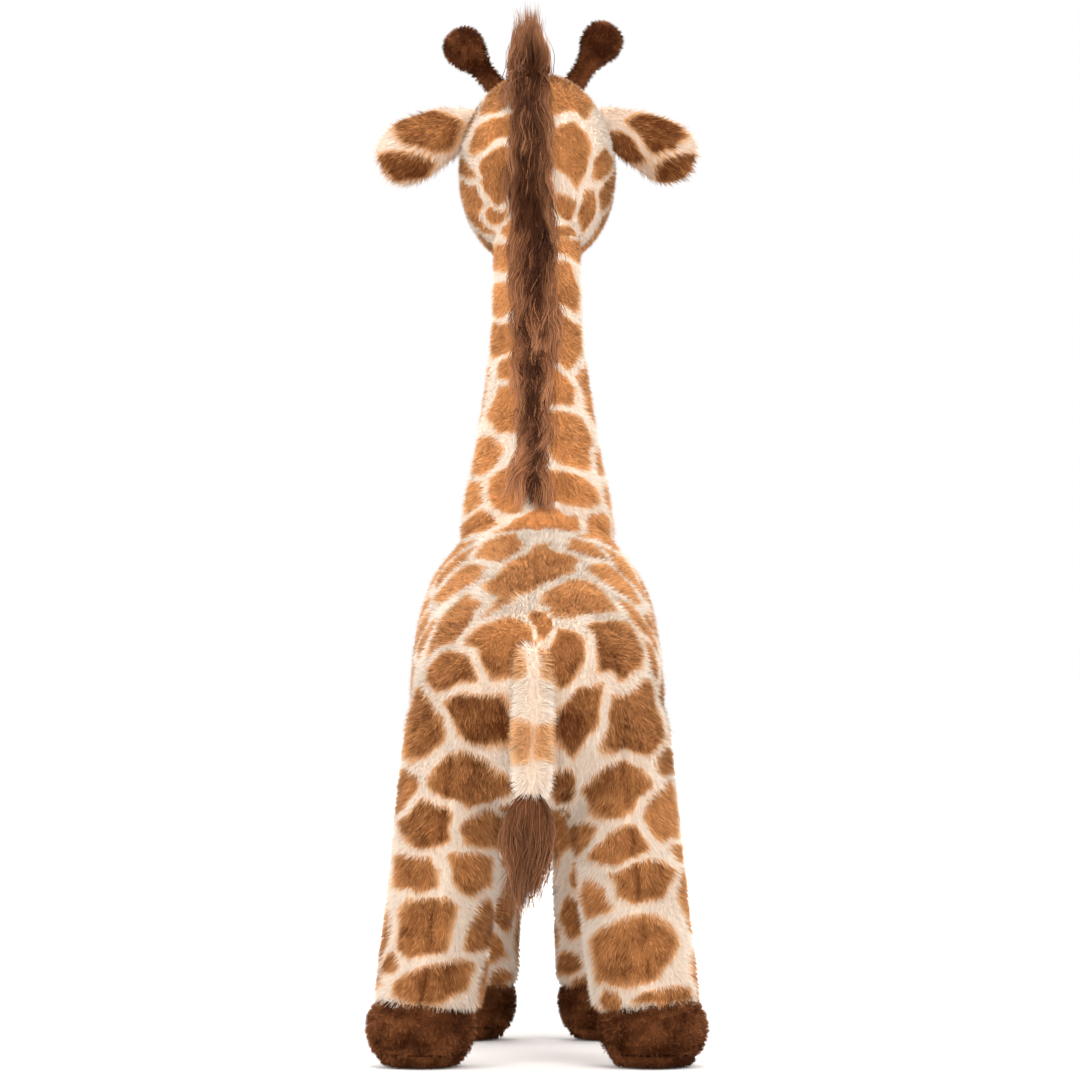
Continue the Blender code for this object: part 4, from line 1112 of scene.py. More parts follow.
def speckles(tree, scale):
    """Fine noise in the plastic."""
    inputs = {"Vector": object_place(tree), "Scale": scale}
    return add_node(tree, "ShaderNodeTexNoise", (-700, 0), inputs).outputs["Fac"]


def eye_material(name):
    """Black plastic, polished."""
    material, tree, shader = new_material(name, 0.22, specular=0.30)
    black, soft_black = (0.006, 0.004, 0.003, 1.0), (0.022, 0.012, 0.008, 1.0)
    tone = colour_between(tree, (-400, 0), speckles(tree, 260.0), black, soft_black)
    tree.links.new(tone, shader.inputs["Base Color"])
    return material


def washer_material(name):
    """Pale plastic, as it is moulded."""
    material, tree, shader = new_material(name, 0.45)
    tone = rising(tree, (-400, 0), speckles(tree, 400.0), start=0.68, end=0.82)
    tree.links.new(tone, shader.inputs["Base Color"])
    return material


def floor_material(name):
    """Pale and matt, and white to the camera away from the toy's shadow."""
    material, tree, shader = new_material(name, 0.9, specular=0.1)
    shader.inputs["Base Color"].default_value = (0.80, 0.795, 0.79, 1.0)
    shader.inputs["Emission Color"].default_value = (1.0, 1.0, 1.0, 1.0)
    away = add_node(
        tree, "ShaderNodeVectorMath", (-800, -300), {0: object_place(tree)}, operation="LENGTH"
    ).outputs["Value"]
    far = rising(tree, (-600, -300), away, 0.30, 1.10, 0.04, 1.0, interpolation_type="SMOOTHSTEP")
    ray = add_node(tree, "ShaderNodeLightPath", (-600, -560)).outputs
    shown = math_node(tree, (-400, -560), "MAXIMUM", ray["Is Camera Ray"], ray["Is Glossy Ray"])
    shown = math_node(tree, (-300, -620), "MAXIMUM", shown, ray["Is Transmission Ray"])
    glow = math_node(tree, (-200, -400), "MULTIPLY", far, shown)
    tree.links.new(glow, shader.inputs["Emission Strength"])
    return material


def material_for(name, build, *arguments, **options):
    return bpy.data.materials.get(name) or build(name, *arguments, **options)


class GiraffePlushSettings(bpy.types.PropertyGroup):
    """The printed plush: how thick, how long and which colours."""

    strands_per_cm2: IntProperty(
        name="Strands per cm2", description="How many strands of pile stand on each cm2", default=150, min=10
    )
    pile_length: FloatProperty(
        name="Pile length", description="Length of a strand of the body's pile", default=0.0050, unit="LENGTH"
    )
    pile_radius: FloatProperty(
        name="Strand radius", description="Radius of a strand at its root", default=0.00019, unit="LENGTH"
    )
    pile_lift: FloatProperty(
        name="Pile lift", description="How steeply the pile stands up from the cloth",
        default=math.radians(42.0), unit="ROTATION"
    )
    cream: FloatVectorProperty(
        name="Cream", description="The print's ground colour",
        default=(0.80, 0.720, 0.640), subtype="COLOR", size=3
    )
    shaded_cream: FloatVectorProperty(
        name="Shaded cream", description="The cream where the pile is parted and sees less light",
        default=(0.60, 0.455, 0.355), subtype="COLOR", size=3
    )
    rim: FloatVectorProperty(
        name="Rim", description="The thinner dye at a spot's edge",
        default=(0.76, 0.46, 0.245), subtype="COLOR", size=3
    )
    caramel: FloatVectorProperty(
        name="Caramel", description="The spots' colour",
        default=(0.73, 0.350, 0.138), subtype="COLOR", size=3
    )
    deep_caramel: FloatVectorProperty(
        name="Deep caramel", description="The spots' darker patches",
        default=(0.135, 0.042, 0.0115), subtype="COLOR", size=3
    )
    # Painted shade between the strands: the root tints darken the roots and the tip shade lightens the tips
    root_tint: FloatVectorProperty(
        name="Root tint", description="What the colour is multiplied by at the roots in the spots",
        default=(0.66, 0.54, 0.42), subtype="COLOR", size=3
    )
    cream_root_tint: FloatVectorProperty(
        name="Cream root tint", description="What the colour is multiplied by at the roots in the cream",
        default=(0.88, 0.76, 0.65), subtype="COLOR", size=3
    )
    tip_shade: FloatProperty(name="Tip shade", description="Brightness at the tips", default=1.12)
    strand_spread: FloatProperty(
        name="Strand spread", description="How unlike the strands in a spot are", default=0.80
    )
    cream_spread: FloatProperty(
        name="Cream spread", description="How unlike the cream strands are", default=0.26
    )


class GiraffeBrownSettings(bpy.types.PropertyGroup):
    """The dark brown pile of hooves and horns."""

    strands_per_cm2: IntProperty(
        name="Strands per cm2", description="How many strands of pile stand on each cm2", default=190, min=10
    )
    pile_length: FloatProperty(
        name="Pile length", description="Length of a strand of brown pile", default=0.0034, unit="LENGTH"
    )
    pile_radius: FloatProperty(
        name="Strand radius", description="Radius of a strand at its root", default=0.00018, unit="LENGTH"
    )
    dark: FloatVectorProperty(
        name="Dark brown", description="The pile's dark shade",
        default=(0.060, 0.0165, 0.0045), subtype="COLOR", size=3
    )
    light: FloatVectorProperty(
        name="Light brown", description="Where the pile is brushed up",
        default=(0.33, 0.128, 0.050), subtype="COLOR", size=3
    )
    # Painted shade between the strands: the root tint darkens the roots and the tip shade lightens the tips
    root_tint: FloatVectorProperty(
        name="Root tint", description="What the colour is multiplied by at the roots",
        default=(0.36, 0.28, 0.22), subtype="COLOR", size=3
    )
    tip_shade: FloatProperty(name="Tip shade", description="Brightness at the tips", default=1.15)
    strand_spread: FloatProperty(name="Strand spread", description="How unlike the strands are", default=0.8)


class GiraffeHairSettings(bpy.types.PropertyGroup):
    """The long hair of mane, forelock and tail."""

    mane_length: FloatProperty(
        name="Mane length", description="Length of the hair down the neck", default=0.043, unit="LENGTH"
    )
    forelock_length: FloatProperty(
        name="Forelock length", description="Length of the hair between the horns",
        default=0.046, unit="LENGTH"
    )
    hair_radius: FloatProperty(
        name="Hair radius", description="Radius of a hair at its root", default=0.00022, unit="LENGTH"
    )
    dark: FloatVectorProperty(
        name="Dark hair", description="The hair deep in the mane",
        default=(0.040, 0.0115, 0.0038), subtype="COLOR", size=3
    )
    light: FloatVectorProperty(
        name="Light hair", description="The hair on top",
        default=(0.46, 0.205, 0.100), subtype="COLOR", size=3
    )
    # Painted shade between the strands: the root tint darkens the roots and the tip shade lightens the tips
    root_tint: FloatVectorProperty(
        name="Root tint", description="What the colour is multiplied by at the roots",
        default=(0.34, 0.26, 0.20), subtype="COLOR", size=3
    )
    tip_shade: FloatProperty(name="Tip shade", description="Brightness at the tips", default=1.10)
    strand_spread: FloatProperty(name="Strand spread", description="How unlike the strands are", default=0.7)


def lofted_parts():
    """The stuffed forms of torso, neck, head and legs, before they are sewn together."""
    forms = [stuffed_form("torso_form", [(0.0, *ring) for ring in TORSO_RINGS])]
    forms.append(stuffed_form("head_form", [(0.0, *ring) for ring in HEAD_RINGS]))
    lean = math.degrees(math.atan2(-NECK_AXIS[1], NECK_AXIS[2]))
    rings = []
    for up, half_width, half_depth in NECK_RINGS:
        place = NECK_BASE + (NECK_TOP - NECK_BASE) * up
        rings.append((*place, half_width, half_depth, lean))
    forms.append(stuffed_form("neck_form", rings))
    for end, (hoof, hip, thigh) in LEGS.items():
        for side in (-1.0, 1.0):
            foot = np.array((side * hoof[0], hoof[1], 0.0))
            top = np.array((side * hip[0], hip[1], hip[2]))
            cuff = foot + (top - foot) * (CUFF_HEIGHT / hip[2])
            rings = []
            for up, swelling, fullness in LEG_RINGS:
                place = cuff + (top - cuff) * up
                half_width = (ANKLE[0] + (thigh[0] - ANKLE[0]) * swelling) * fullness
                half_depth = (ANKLE[1] + (thigh[1] - ANKLE[1]) * swelling) * fullness
                rings.append((*place, half_width, half_depth, 0.0))
            forms.append(stuffed_form(end + "_leg_form", rings))
    return forms


def cut_across(obj, name, place, normal):
    """Keeps the side of the skin that the normal points to, closed by a flat end."""
    bm = bmesh.new()
    bm.from_mesh(obj.data)
    cut = bmesh.ops.bisect_plane(
        bm, geom=list(bm.verts) + list(bm.edges) + list(bm.faces),
        plane_co=Vector(place), plane_no=Vector(normal), clear_inner=True,
    )
    rim = [item for item in cut["geom_cut"] if isinstance(item, bmesh.types.BMEdge)]
    bmesh.ops.contextual_create(bm, geom=rim)
    mesh = bpy.data.meshes.new(name)
    bm.to_mesh(mesh)
    bm.free()
    mesh.shade_smooth()
    return in_scene(name, mesh)


def grown_pile(
    name, arrays, values, settings, seed, keep=None, length=None, lift=None,
    comb=combing, clump=CLUMP_SIZE, gather=CLUMP_PULL, lit=(0.0, 0.0, 0.0)
):
    """Pile on part of a skin: strands along the combing, drawn into small clumps."""
    density = settings.strands_per_cm2 * 10000
    roots, root_normals, corners, weights = scattered(*arrays, density, seed, keep)
    random = np.random.RandomState(seed + 1)
    count = len(roots)
    way = unit(comb(roots, root_normals) + random.normal(0.0, 0.22, (count, 3)))
    steep = (lift or settings.pile_lift) + random.normal(0.0, 0.16, count)
    steep = steep + 0.12 * soft_noise(roots, 0.009, seed + 5)
    reach = (length or settings.pile_length) * random.uniform(0.72, 1.12, count)
    if "trim" in values:
        reach = reach * mixed(values["trim"], corners, weights)
    tips = roots + reach[:, None] * (root_normals * np.sin(steep)[:, None] + way * np.cos(steep)[:, None])
    pull = np.clip(random.normal(gather, 0.15, count), 0.0, 0.85)
    tips = drawn_to_clumps(roots, tips, clump, pull, seed + 3)
    own = {
        key: np.clip(mixed(row, corners, weights), 0.0, 1.0)
        for key, row in values.items() if key != "trim"
    }
    mottle = random.normal(0.0, 0.19, count) + MOTTLING * soft_noise(roots, 0.0021, seed + 9)
    own["shade"] = np.clip(own["shade"] + mottle, 0.0, 1.0)
    facing = unit(root_normals + np.array(lit))
    sunk = roots - root_normals * ROOT_SINK
    return pile_object(name, sunk, tips, facing, settings.pile_radius, own, seed + 2)


def print_seen_spots(spots, tree, rows):
    """Prints the spots that the photograph shows on the skin where the camera sees it."""
    for row in rows:
        found = spot_on(tree, *row)
        if found:
            spots.add(*found)


def dress(obj, material, body=None):
    """Gives a piece its material and its slot, and lets it ride on a body."""
    obj.data.materials.append(material)
    if body:
        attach(obj, body)


class GIRAFFE_OT_sew_body(bpy.types.Operator):
    """Sew the printed skin over torso, legs, neck and head, and raise its pile"""

    bl_idname = "giraffe.sew_body"
    bl_label = "Sew body"

    def execute(self, context):
        settings = context.scene.giraffe_plush
        whole = sewn_together("whole_skin", lofted_parts())
        blown_up(whole, held_by_seams)
        places, normals, _ = mesh_arrays(whole.data)
        groove = SEAM_DEPTH * np.exp(-(seam_gap(places, normals) / SEAM_WIDTH) ** 2)
        move_points(whole, places - normals * groove[:, None])
        made["whole_tree"] = tree_of(whole)
        arrays = mesh_arrays(whole.data)
        places, normals, _ = arrays
        spots = SpotPrint()
        print_seen_spots(spots, made["whole_tree"], SEEN_SPOTS["body"] + SEEN_SPOTS["neck"])
        spare_spots(spots, places, normals, 5)

        values = self.print_values(places, normals, spots)
        strands = material_for("Printed pile", plush_material, settings)
        for name, keep, seed in self.regions(places):
            fur = grown_pile(name, arrays, values, settings, seed, keep)
            dress(fur, strands)
            self.attach(fur, name)
        set_values(whole.data, "spot", values["spot"])
        set_values(whole.data, "shade", values["shade"])
        lower = cut_across(whole, "body_plush", NECK_MIDDLE, -NECK_AXIS)
        upper = cut_across(whole, "head_plush", NECK_MIDDLE, NECK_AXIS)
        bpy.data.objects.remove(whole)
        cloth = material_for("Printed cloth", plush_material, settings, strands=False)
        for skin in (lower, upper):
            dress(skin, cloth)
            self.attach(skin, skin.name)
        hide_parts("torso_skin", "torso_filling", "neck_skin", "neck_filling")
        for end in ("front", "rear"):
            for side in ("left", "right"):
                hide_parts(f"{end}_{side}_leg_skin", f"{end}_{side}_leg_filling")
        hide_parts("head_skin", "head_filling")
        return {"FINISHED"}

    def print_values(self, places, normals, spots):
        """The print's value and shade, with painted shade and light in the shade, and how long the pile is
        left, at each point of the skin.
        """
        x, y, z = places.T
        spot, tone = spots.mask(places, normals, 3)
        muzzle = fade((-0.152 - y) / 0.02) * fade((0.478 - z) / 0.02 + 0.4)
        spot = spot * (1.0 - muzzle)
        # Painted shade and light: the rump term darkens the back low between the hind legs, and the height
        # term lightens the body higher up, where light falls from above
        rump = np.exp(-(x / 0.055) ** 2 - ((z - 0.190) / 0.042) ** 2) * fade((y - 0.10) / 0.05)
        shade = 0.46 + 0.26 * soft_noise(places, 0.02, 31) + 0.18 * soft_noise(places, 0.007, 37)
        shade += 0.8 * tone + 0.46 * rump - 0.42 * fade((z - 0.205) / 0.055) + 0.15 * (spot - 0.75)
        shade += 0.07 * fade((z - 0.30) / 0.03) + 0.28 * fade((z - 0.45) / 0.03)
        gap = seam_gap(places, normals)
        trim = 1.0 - 0.42 * np.exp(-(gap / (1.3 * SEAM_WIDTH)) ** 2)
        face = fade((-0.135 - y) / 0.03)
        trim = trim * (1.0 - 0.30 * face) * (1.0 - 0.28 * fade((z - 0.27) / 0.16))
        for side in (-1.0, 1.0):
            eye = np.linalg.norm(places - (side * EYE_PLACE[0], *EYE_PLACE[1:]), axis=1)
            trim = trim * (0.25 + 0.75 * fade((eye - 0.005) / 0.007))
            # Painted shade: a dark brown line along each ear's sewn root, where the crease shades the pile
            hinge = ear_hinge(side)
            apart = places - ear_root(side)
            height = np.clip(apart @ hinge, -EAR_SLIT_HALF_LENGTH, EAR_SLIT_HALF_LENGTH)
            line = np.exp(-(np.linalg.norm(apart - height[:, None] * hinge, axis=1) / 0.0030) ** 2)
            spot = np.maximum(spot, 0.9 * line)
            shade = shade + 0.9 * line
            trim = trim * (1.0 - 0.5 * line)
        # Painted shade: the cloth under the mane is dark brown and its pile is cut short
        strip = self.mane_strip(places, normals)
        spot = np.maximum(spot, strip)
        shade = shade + strip
        trim = trim * (1.0 - 0.75 * strip)
        # Painted shade in the seams' grooves: the shade value rises along them
        seam = np.exp(-(gap / (0.75 * SEAM_WIDTH)) ** 2)
        return {"spot": spot, "shade": np.clip(shade + 0.32 * seam, 0.0, 1.0), "trim": trim}

    def mane_strip(self, places, normals):
        """1 under the mane, where the cloth is painted dark brown for the shade deep in the mane and has no
        pile.
        """
        x, y, z = places.T
        _, skull_y, skull_z = SKULL_CENTRE
        angle = np.arctan2(z - skull_z, y - skull_y)
        on_skull = (z > 0.455) & (angle > NAPE_ANGLE - 0.2) & (angle < FORELOCK_ANGLE)
        on_neck = (z > MANE_FOOT_HEIGHT + 0.002) & (z < 0.470) & (normals[:, 1] > 0.0)
        centre = np.where(on_skull, skull_mane_aside(angle), MANE_ASIDE)
        half = np.interp(z, MANE_HEIGHTS, (0.0028, 0.0044, 0.0070))
        return np.exp(-((x - centre) / half) ** 4) * (on_skull | on_neck)

    def regions(self, places):
        """Each pile's name, its share of the skin and its random seed."""
        x, y, z = places.T
        upper = (places - NECK_MIDDLE) @ NECK_AXIS > 0.0
        head = upper & (z > HEAD_PILE_FOOT)
        neck = (z > NECK_PILE_FOOT) & ~upper
        leg = (z < LEG_PILE_TOP) & ~upper
        trunk = ~leg & ~neck & ~upper
        back, chest = trunk & (y > BODY_PARTING_Y), trunk & (y <= BODY_PARTING_Y)
        rows = [
            ("head_pile", head, 211), ("upper_neck_pile", upper & ~head, 223),
            ("neck_base_pile", neck, 101),
            ("left_rump_pile", back & (x > 0.0), 103), ("right_rump_pile", back & (x <= 0.0), 113),
            ("left_chest_pile", chest & (x > 0.0), 107), ("right_chest_pile", chest & (x <= 0.0), 127),
        ]
        for end, ahead in (("front", y < BODY_PARTING_Y), ("rear", y >= BODY_PARTING_Y)):
            for side, seat in (("left", x > 0.0), ("right", x <= 0.0)):
                rows.append((f"{end}_{side}_leg_pile", leg & ahead & seat, 109 + len(rows) * 4))
        return [(name, keep.astype(float), seed) for name, keep, seed in rows]

    def attach(self, obj, name):
        if name in ("body_plush", "neck_base_pile", "left_chest_pile", "right_chest_pile"):
            bend_at_neck_base(obj)
        elif name in ("head_plush", "head_pile", "upper_neck_pile"):
            bend_at_head(obj)
        else:
            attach(obj, "torso")


def bend_at_neck_base(obj):
    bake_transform(obj)


def bend_at_head(obj):
    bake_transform(obj)


def downwards(points, normals):
    """Short pile with no nap of its own: it lies every way, a little downwards."""
    way = 1.2 * noise_vectors(points, 0.007, 61) + 0.7 * noise_vectors(points, 0.003, 67)
    way[:, 2] -= 0.35
    return lying(way, normals)


def ear_root(side):
    return np.array((side * EAR_ROOT[0], EAR_ROOT[1], EAR_ROOT[2]))


def ear_hinge(side):
    """The line that an ear is sewn along."""
    return np.array((-side * math.sin(EAR_HINGE_LEAN), 0.0, math.cos(EAR_HINGE_LEAN)))


def skull_mane_aside(angle):
    """How far aside the mane runs at this angle over the skull."""
    return np.interp(np.degrees(angle), (-30.0, -8.0, 12.0), (0.0012, 0.0032, SKULL_MANE_ASIDE))


def brown_pile(form, name, body, seed, settings, length=None, tone=0.38, clump=BROWN_CLUMP_SIZE):
    """Gives a brown form its cloth and its own short pile, and lets both ride on a body."""
    cloth = material_for("Brown cloth", plain_pile_material, settings, strands=False)
    strands = material_for("Brown pile", plain_pile_material, settings)
    arrays = mesh_arrays(form.data)
    places = arrays[0]
    swirl = tone + 0.46 * soft_noise(places, 0.009, seed) + 0.35 * soft_noise(places, 0.0030, seed + 1)
    values = {"shade": swirl}
    # The hooves' pile is worn away under the soles
    if body == "torso":
        height = places[:, 2]
        values["trim"] = np.where(height < 0.0012, 0.05, fade((height + 0.001) / 0.004) * 0.9 + 0.1)
    set_values(form.data, "shade", np.clip(swirl, 0.0, 1.0))
    fur = grown_pile(
        name, arrays, values, settings, seed, length=length, lift=BROWN_LIFT,
        comb=downwards, clump=clump, gather=BROWN_CLUMP_PULL
    )
    dress(form, cloth, body)
    dress(fur, strands, body)


class GIRAFFE_OT_sew_hooves(bpy.types.Operator):
    """Sew the four brown hooves, each an upper and a flat sole"""

    bl_idname = "giraffe.sew_hooves"
    bl_label = "Sew hooves"

    def execute(self, context):
        settings = context.scene.giraffe_brown
        for end, ahead, seed in (("front", -1.0, 401), ("rear", 1.0, 431)):
            (x, y), _, _ = LEGS[end]
            for side_name, side in (("left", 1.0), ("right", -1.0)):
                foot = Matrix.Translation((side * x, y, 0.0))
                start = f"{end}_{side_name}"
                upper = turned_form(start + "_hoof_plush", HOOF_ROWS, foot)
                places, normals, _ = mesh_arrays(upper.data)
                seam = np.where(normals[:, 1] * ahead > 0.2, np.abs(places[:, 0] - side * x), 1.0)
                groove = HOOF_SEAM_DEPTH * np.exp(-(seam / HOOF_SEAM_WIDTH) ** 2)
                move_points(upper, places - normals * groove[:, None])
                sole = turned_form(start + "_sole_plush", SOLE_ROWS, foot)
                own = seed + int(side) * 7
                brown_pile(upper, start + "_hoof_pile", "torso", own, settings)
                brown_pile(
                    sole, start + "_sole_pile", "torso", own + 3, settings,
                    length=SHORT_BROWN_LENGTH
                )
                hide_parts(start + "_hoof_upper", start + "_hoof_weight_pouch")
                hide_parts(start + "_hoof_sole")
        return {"FINISHED"}


class GIRAFFE_OT_sew_horns(bpy.types.Operator):
    """Sew the two horns with their round brown ends"""

    bl_idname = "giraffe.sew_horns"
    bl_label = "Sew horns"

    def execute(self, context):
        settings = context.scene.giraffe_brown
        for side_name, side in (("left", 1.0), ("right", -1.0)):
            aside, lean, middle = HORNS[side_name]
            foot = Matrix.Translation((side * aside, HORN_FOOT_Y, HORN_FOOT_Z))
            rows = STALK_ROWS + tuple((middle + up, radius) for up, radius in BALL_ROWS)
            body = side_name + "_horn"
            horn = turned_form(body + "_plush", rows, foot @ Matrix.Rotation(side * lean, 4, "Y"))
            brown_pile(
                horn, body + "_pile", body, 467 + int(side) * 5, settings,
                length=SHORT_BROWN_LENGTH, tone=0.16, clump=0.0024
            )
            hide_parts(body)
        return {"FINISHED"}


class GIRAFFE_OT_sew_ears(bpy.types.Operator):
    """Sew the two ears: printed plush behind and a cream lining in front"""

    bl_idname = "giraffe.sew_ears"
    bl_label = "Sew ears"

    def execute(self, context):
        settings = context.scene.giraffe_plush
        for side_name, side in (("left", 1.0), ("right", -1.0)):
            body = side_name + "_ear"
            outwards = np.array((side * math.cos(EAR_DROOP), 0.0, -math.sin(EAR_DROOP)))
            ear = self.leaf(body + "_plush", side, outwards)
            arrays = mesh_arrays(ear.data)
            places, normals, _ = arrays
            spots = SpotPrint()
            print_seen_spots(spots, tree_of(ear), SEEN_SPOTS[body])
            back = fade(normals[:, 1] / 0.5 + 0.6)
            spot, tone = spots.mask(places, normals, 11)
            spot = spot * back
            shade = np.clip(0.84 + tone + 0.4 * soft_noise(places, 0.012, 41), 0.0, 1.0)
            values = {"spot": spot, "shade": shade, "trim": 0.60 + 0.45 * back}
            set_values(ear.data, "spot", spot)
            set_values(ear.data, "shade", shade)

            def comb(points, point_normals, outwards=outwards):
                way = 1.2 * outwards - (0.0, 0.0, 0.5) + 0.5 * noise_vectors(points, 0.010, 23)
                return lying(way, point_normals)

            fur = grown_pile(body + "_pile", arrays, values, settings, 503 + int(side) * 9, comb=comb)
            dress(ear, bpy.data.materials["Printed cloth"], body)
            dress(fur, bpy.data.materials["Printed pile"], body)
            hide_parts(body + "_back", body + "_lining")
        return {"FINISHED"}

    def leaf(self, name, side, outwards):
        """A flat stuffed leaf, cupped forwards, from the sewn line to its hanging tip."""
        rings = [
            (0.0, 0.0, up * EAR_LENGTH, width * EAR_HALF_WIDTH, thick, 0.0)
            for up, width, thick, _ in EAR_ROWS
        ]
        ear = stuffed_form(name, rings, sides=40)
        hanging = np.array((side * math.sin(EAR_DROOP), 0.0, math.cos(EAR_DROOP)))
        across, deep, along = mesh_arrays(ear.data)[0].T
        ups, widths, _, cups = np.array(EAR_ROWS).T
        share = along / EAR_LENGTH
        half = np.interp(share, ups, widths) * EAR_HALF_WIDTH
        cup = np.interp(share, ups, cups)
        hollow = cup * (np.clip(across / np.maximum(half, 1e-6), -1.2, 1.2) ** 2 - 0.5)
        turn = np.clip(share, 0.0, 1.0)[:, None]
        wide = ear_hinge(side) * (1.0 - turn) + hanging * turn
        moved = ear_root(side) + outwards * along[:, None] + wide * across[:, None]
        moved[:, 1] += deep - hollow
        moved += 0.0010 * noise_vectors(moved, 0.012, 71)
        move_points(ear, moved)
        facing_out(ear.data)
        return ear


def long_hair_material(hair):
    return material_for("Long hair", plain_pile_material, hair, roughness=0.55)


class GIRAFFE_OT_sew_tail(bpy.types.Operator):
    """Sew the tail and knot the long tuft into its end"""

    bl_idname = "giraffe.sew_tail"
    bl_label = "Sew tail"

    def execute(self, context):
        self.stuffed_tail(context.scene.giraffe_plush)
        self.knotted_tuft(context.scene.giraffe_hair)
        return {"FINISHED"}

    def stuffed_tail(self, settings):
        """The tail: a plush tube, drawn in at its root, with two caramel bands."""
        turn = TAIL_WAY.to_track_quat("Z", "Y").to_matrix().to_4x4()
        tail = turned_form("tail_plush", TAIL_ROWS, Matrix.Translation(TAIL_ROOT) @ turn)
        places = mesh_arrays(tail.data)[0]
        drawn_in = 0.08 + 0.26 * fade((places[:, 2] - 0.220) / 0.020)
        places[:, 0] -= (places[:, 0] - TAIL_ROOT[0]) * drawn_in
        places += 0.0011 * noise_vectors(places, 0.013, 37)
        move_points(tail, places)
        arrays = mesh_arrays(tail.data)
        places = arrays[0]
        aside = np.abs(places[:, 0] - TAIL_ROOT[0] + 0.0018 * soft_noise(places, 0.010, 47))
        height = places[:, 2] + 0.0032 * soft_noise(places, 0.009, 53)
        spot = np.zeros(len(places))
        for high, low, pale, depth in TAIL_BANDS:
            band = fade((high - height) / 0.008 + 0.3) * fade((height - low) / 0.008 + 0.3)
            spot = np.maximum(spot, band * (1.0 - depth * fade((pale - aside) / 0.004 + 0.5)))
        spot = 0.52 * spot
        shade = np.clip(0.30 + 0.4 * soft_noise(places, 0.012, 43), 0.0, 1.0)
        set_values(tail.data, "spot", spot)
        set_values(tail.data, "shade", shade)

        def comb(points, normals):
            return lying(np.array(TAIL_WAY) + 0.4 * noise_vectors(points, 0.008, 29), normals)

        fur = grown_pile(
            "tail_pile", arrays, {"spot": spot, "shade": shade}, settings, 521,
            length=1.35 * settings.pile_length, lift=TAIL_LIFT, comb=comb, lit=(0.0, 0.6, 0.25),
            gather=TAIL_CLUMP_PULL
        )
        dress(tail, bpy.data.materials["Printed cloth"], "tail")
        dress(fur, bpy.data.materials["Printed pile"], "tail")
        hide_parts("tail")

    def knotted_tuft(self, hair):
        """The tuft: locks that spread from the knot and draw together at the end."""
        random, locks, count, lock = new_locks(541, TUFT_LOCKS)
        down = np.array(TAIL_WAY)
        angle = random.uniform(0.0, math.tau, locks)[lock]
        off = (random.rand(locks) ** 0.75)[lock]
        aside = in_rows(np.cos(angle), np.sin(angle) * 0.8, 0.0) * off[:, None]
        knot = np.array(TAIL_ROOT) + down * TUFT_PLACE
        roots = knot + aside * 0.0022 + random.normal(0.0, 0.0006, (count, 3))
        starts = unit(down * 0.9 + aside * 1.06 + random.normal(0.0, 0.10, (count, 3)))
        ends = np.array((-0.06, 0.0, -1.0)) - aside * 0.58
        ends = unit(ends + random.normal(0.0, 0.09, (locks, 3))[lock])
        length = TUFT_LENGTH * random.uniform(0.66, 1.10, locks)[lock] * random.uniform(0.46, 1.05, count)
        length = length * (1.0 - 0.30 * off ** 2) * np.where(random.rand(count) < 0.08, 1.20, 1.0)
        paths = styled_hair(roots, starts, ends, length, lock, TUFT_STYLE)
        light = 0.20 + 0.16 * off ** 2 + 0.24 * fade((aside[:, 0] + 0.1) / 0.8)
        light = light + 0.12 * random.rand(locks)[lock] + 0.30 * random.rand(count) ** 2
        facing = unit(aside + (0.0, 0.6, 0.0))
        tuft = hair_object("tail_tuft_hair", paths, facing, hair.hair_radius, light, 557)
        dress(tuft, long_hair_material(hair), "tail_tuft")
        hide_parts("tail_tuft")


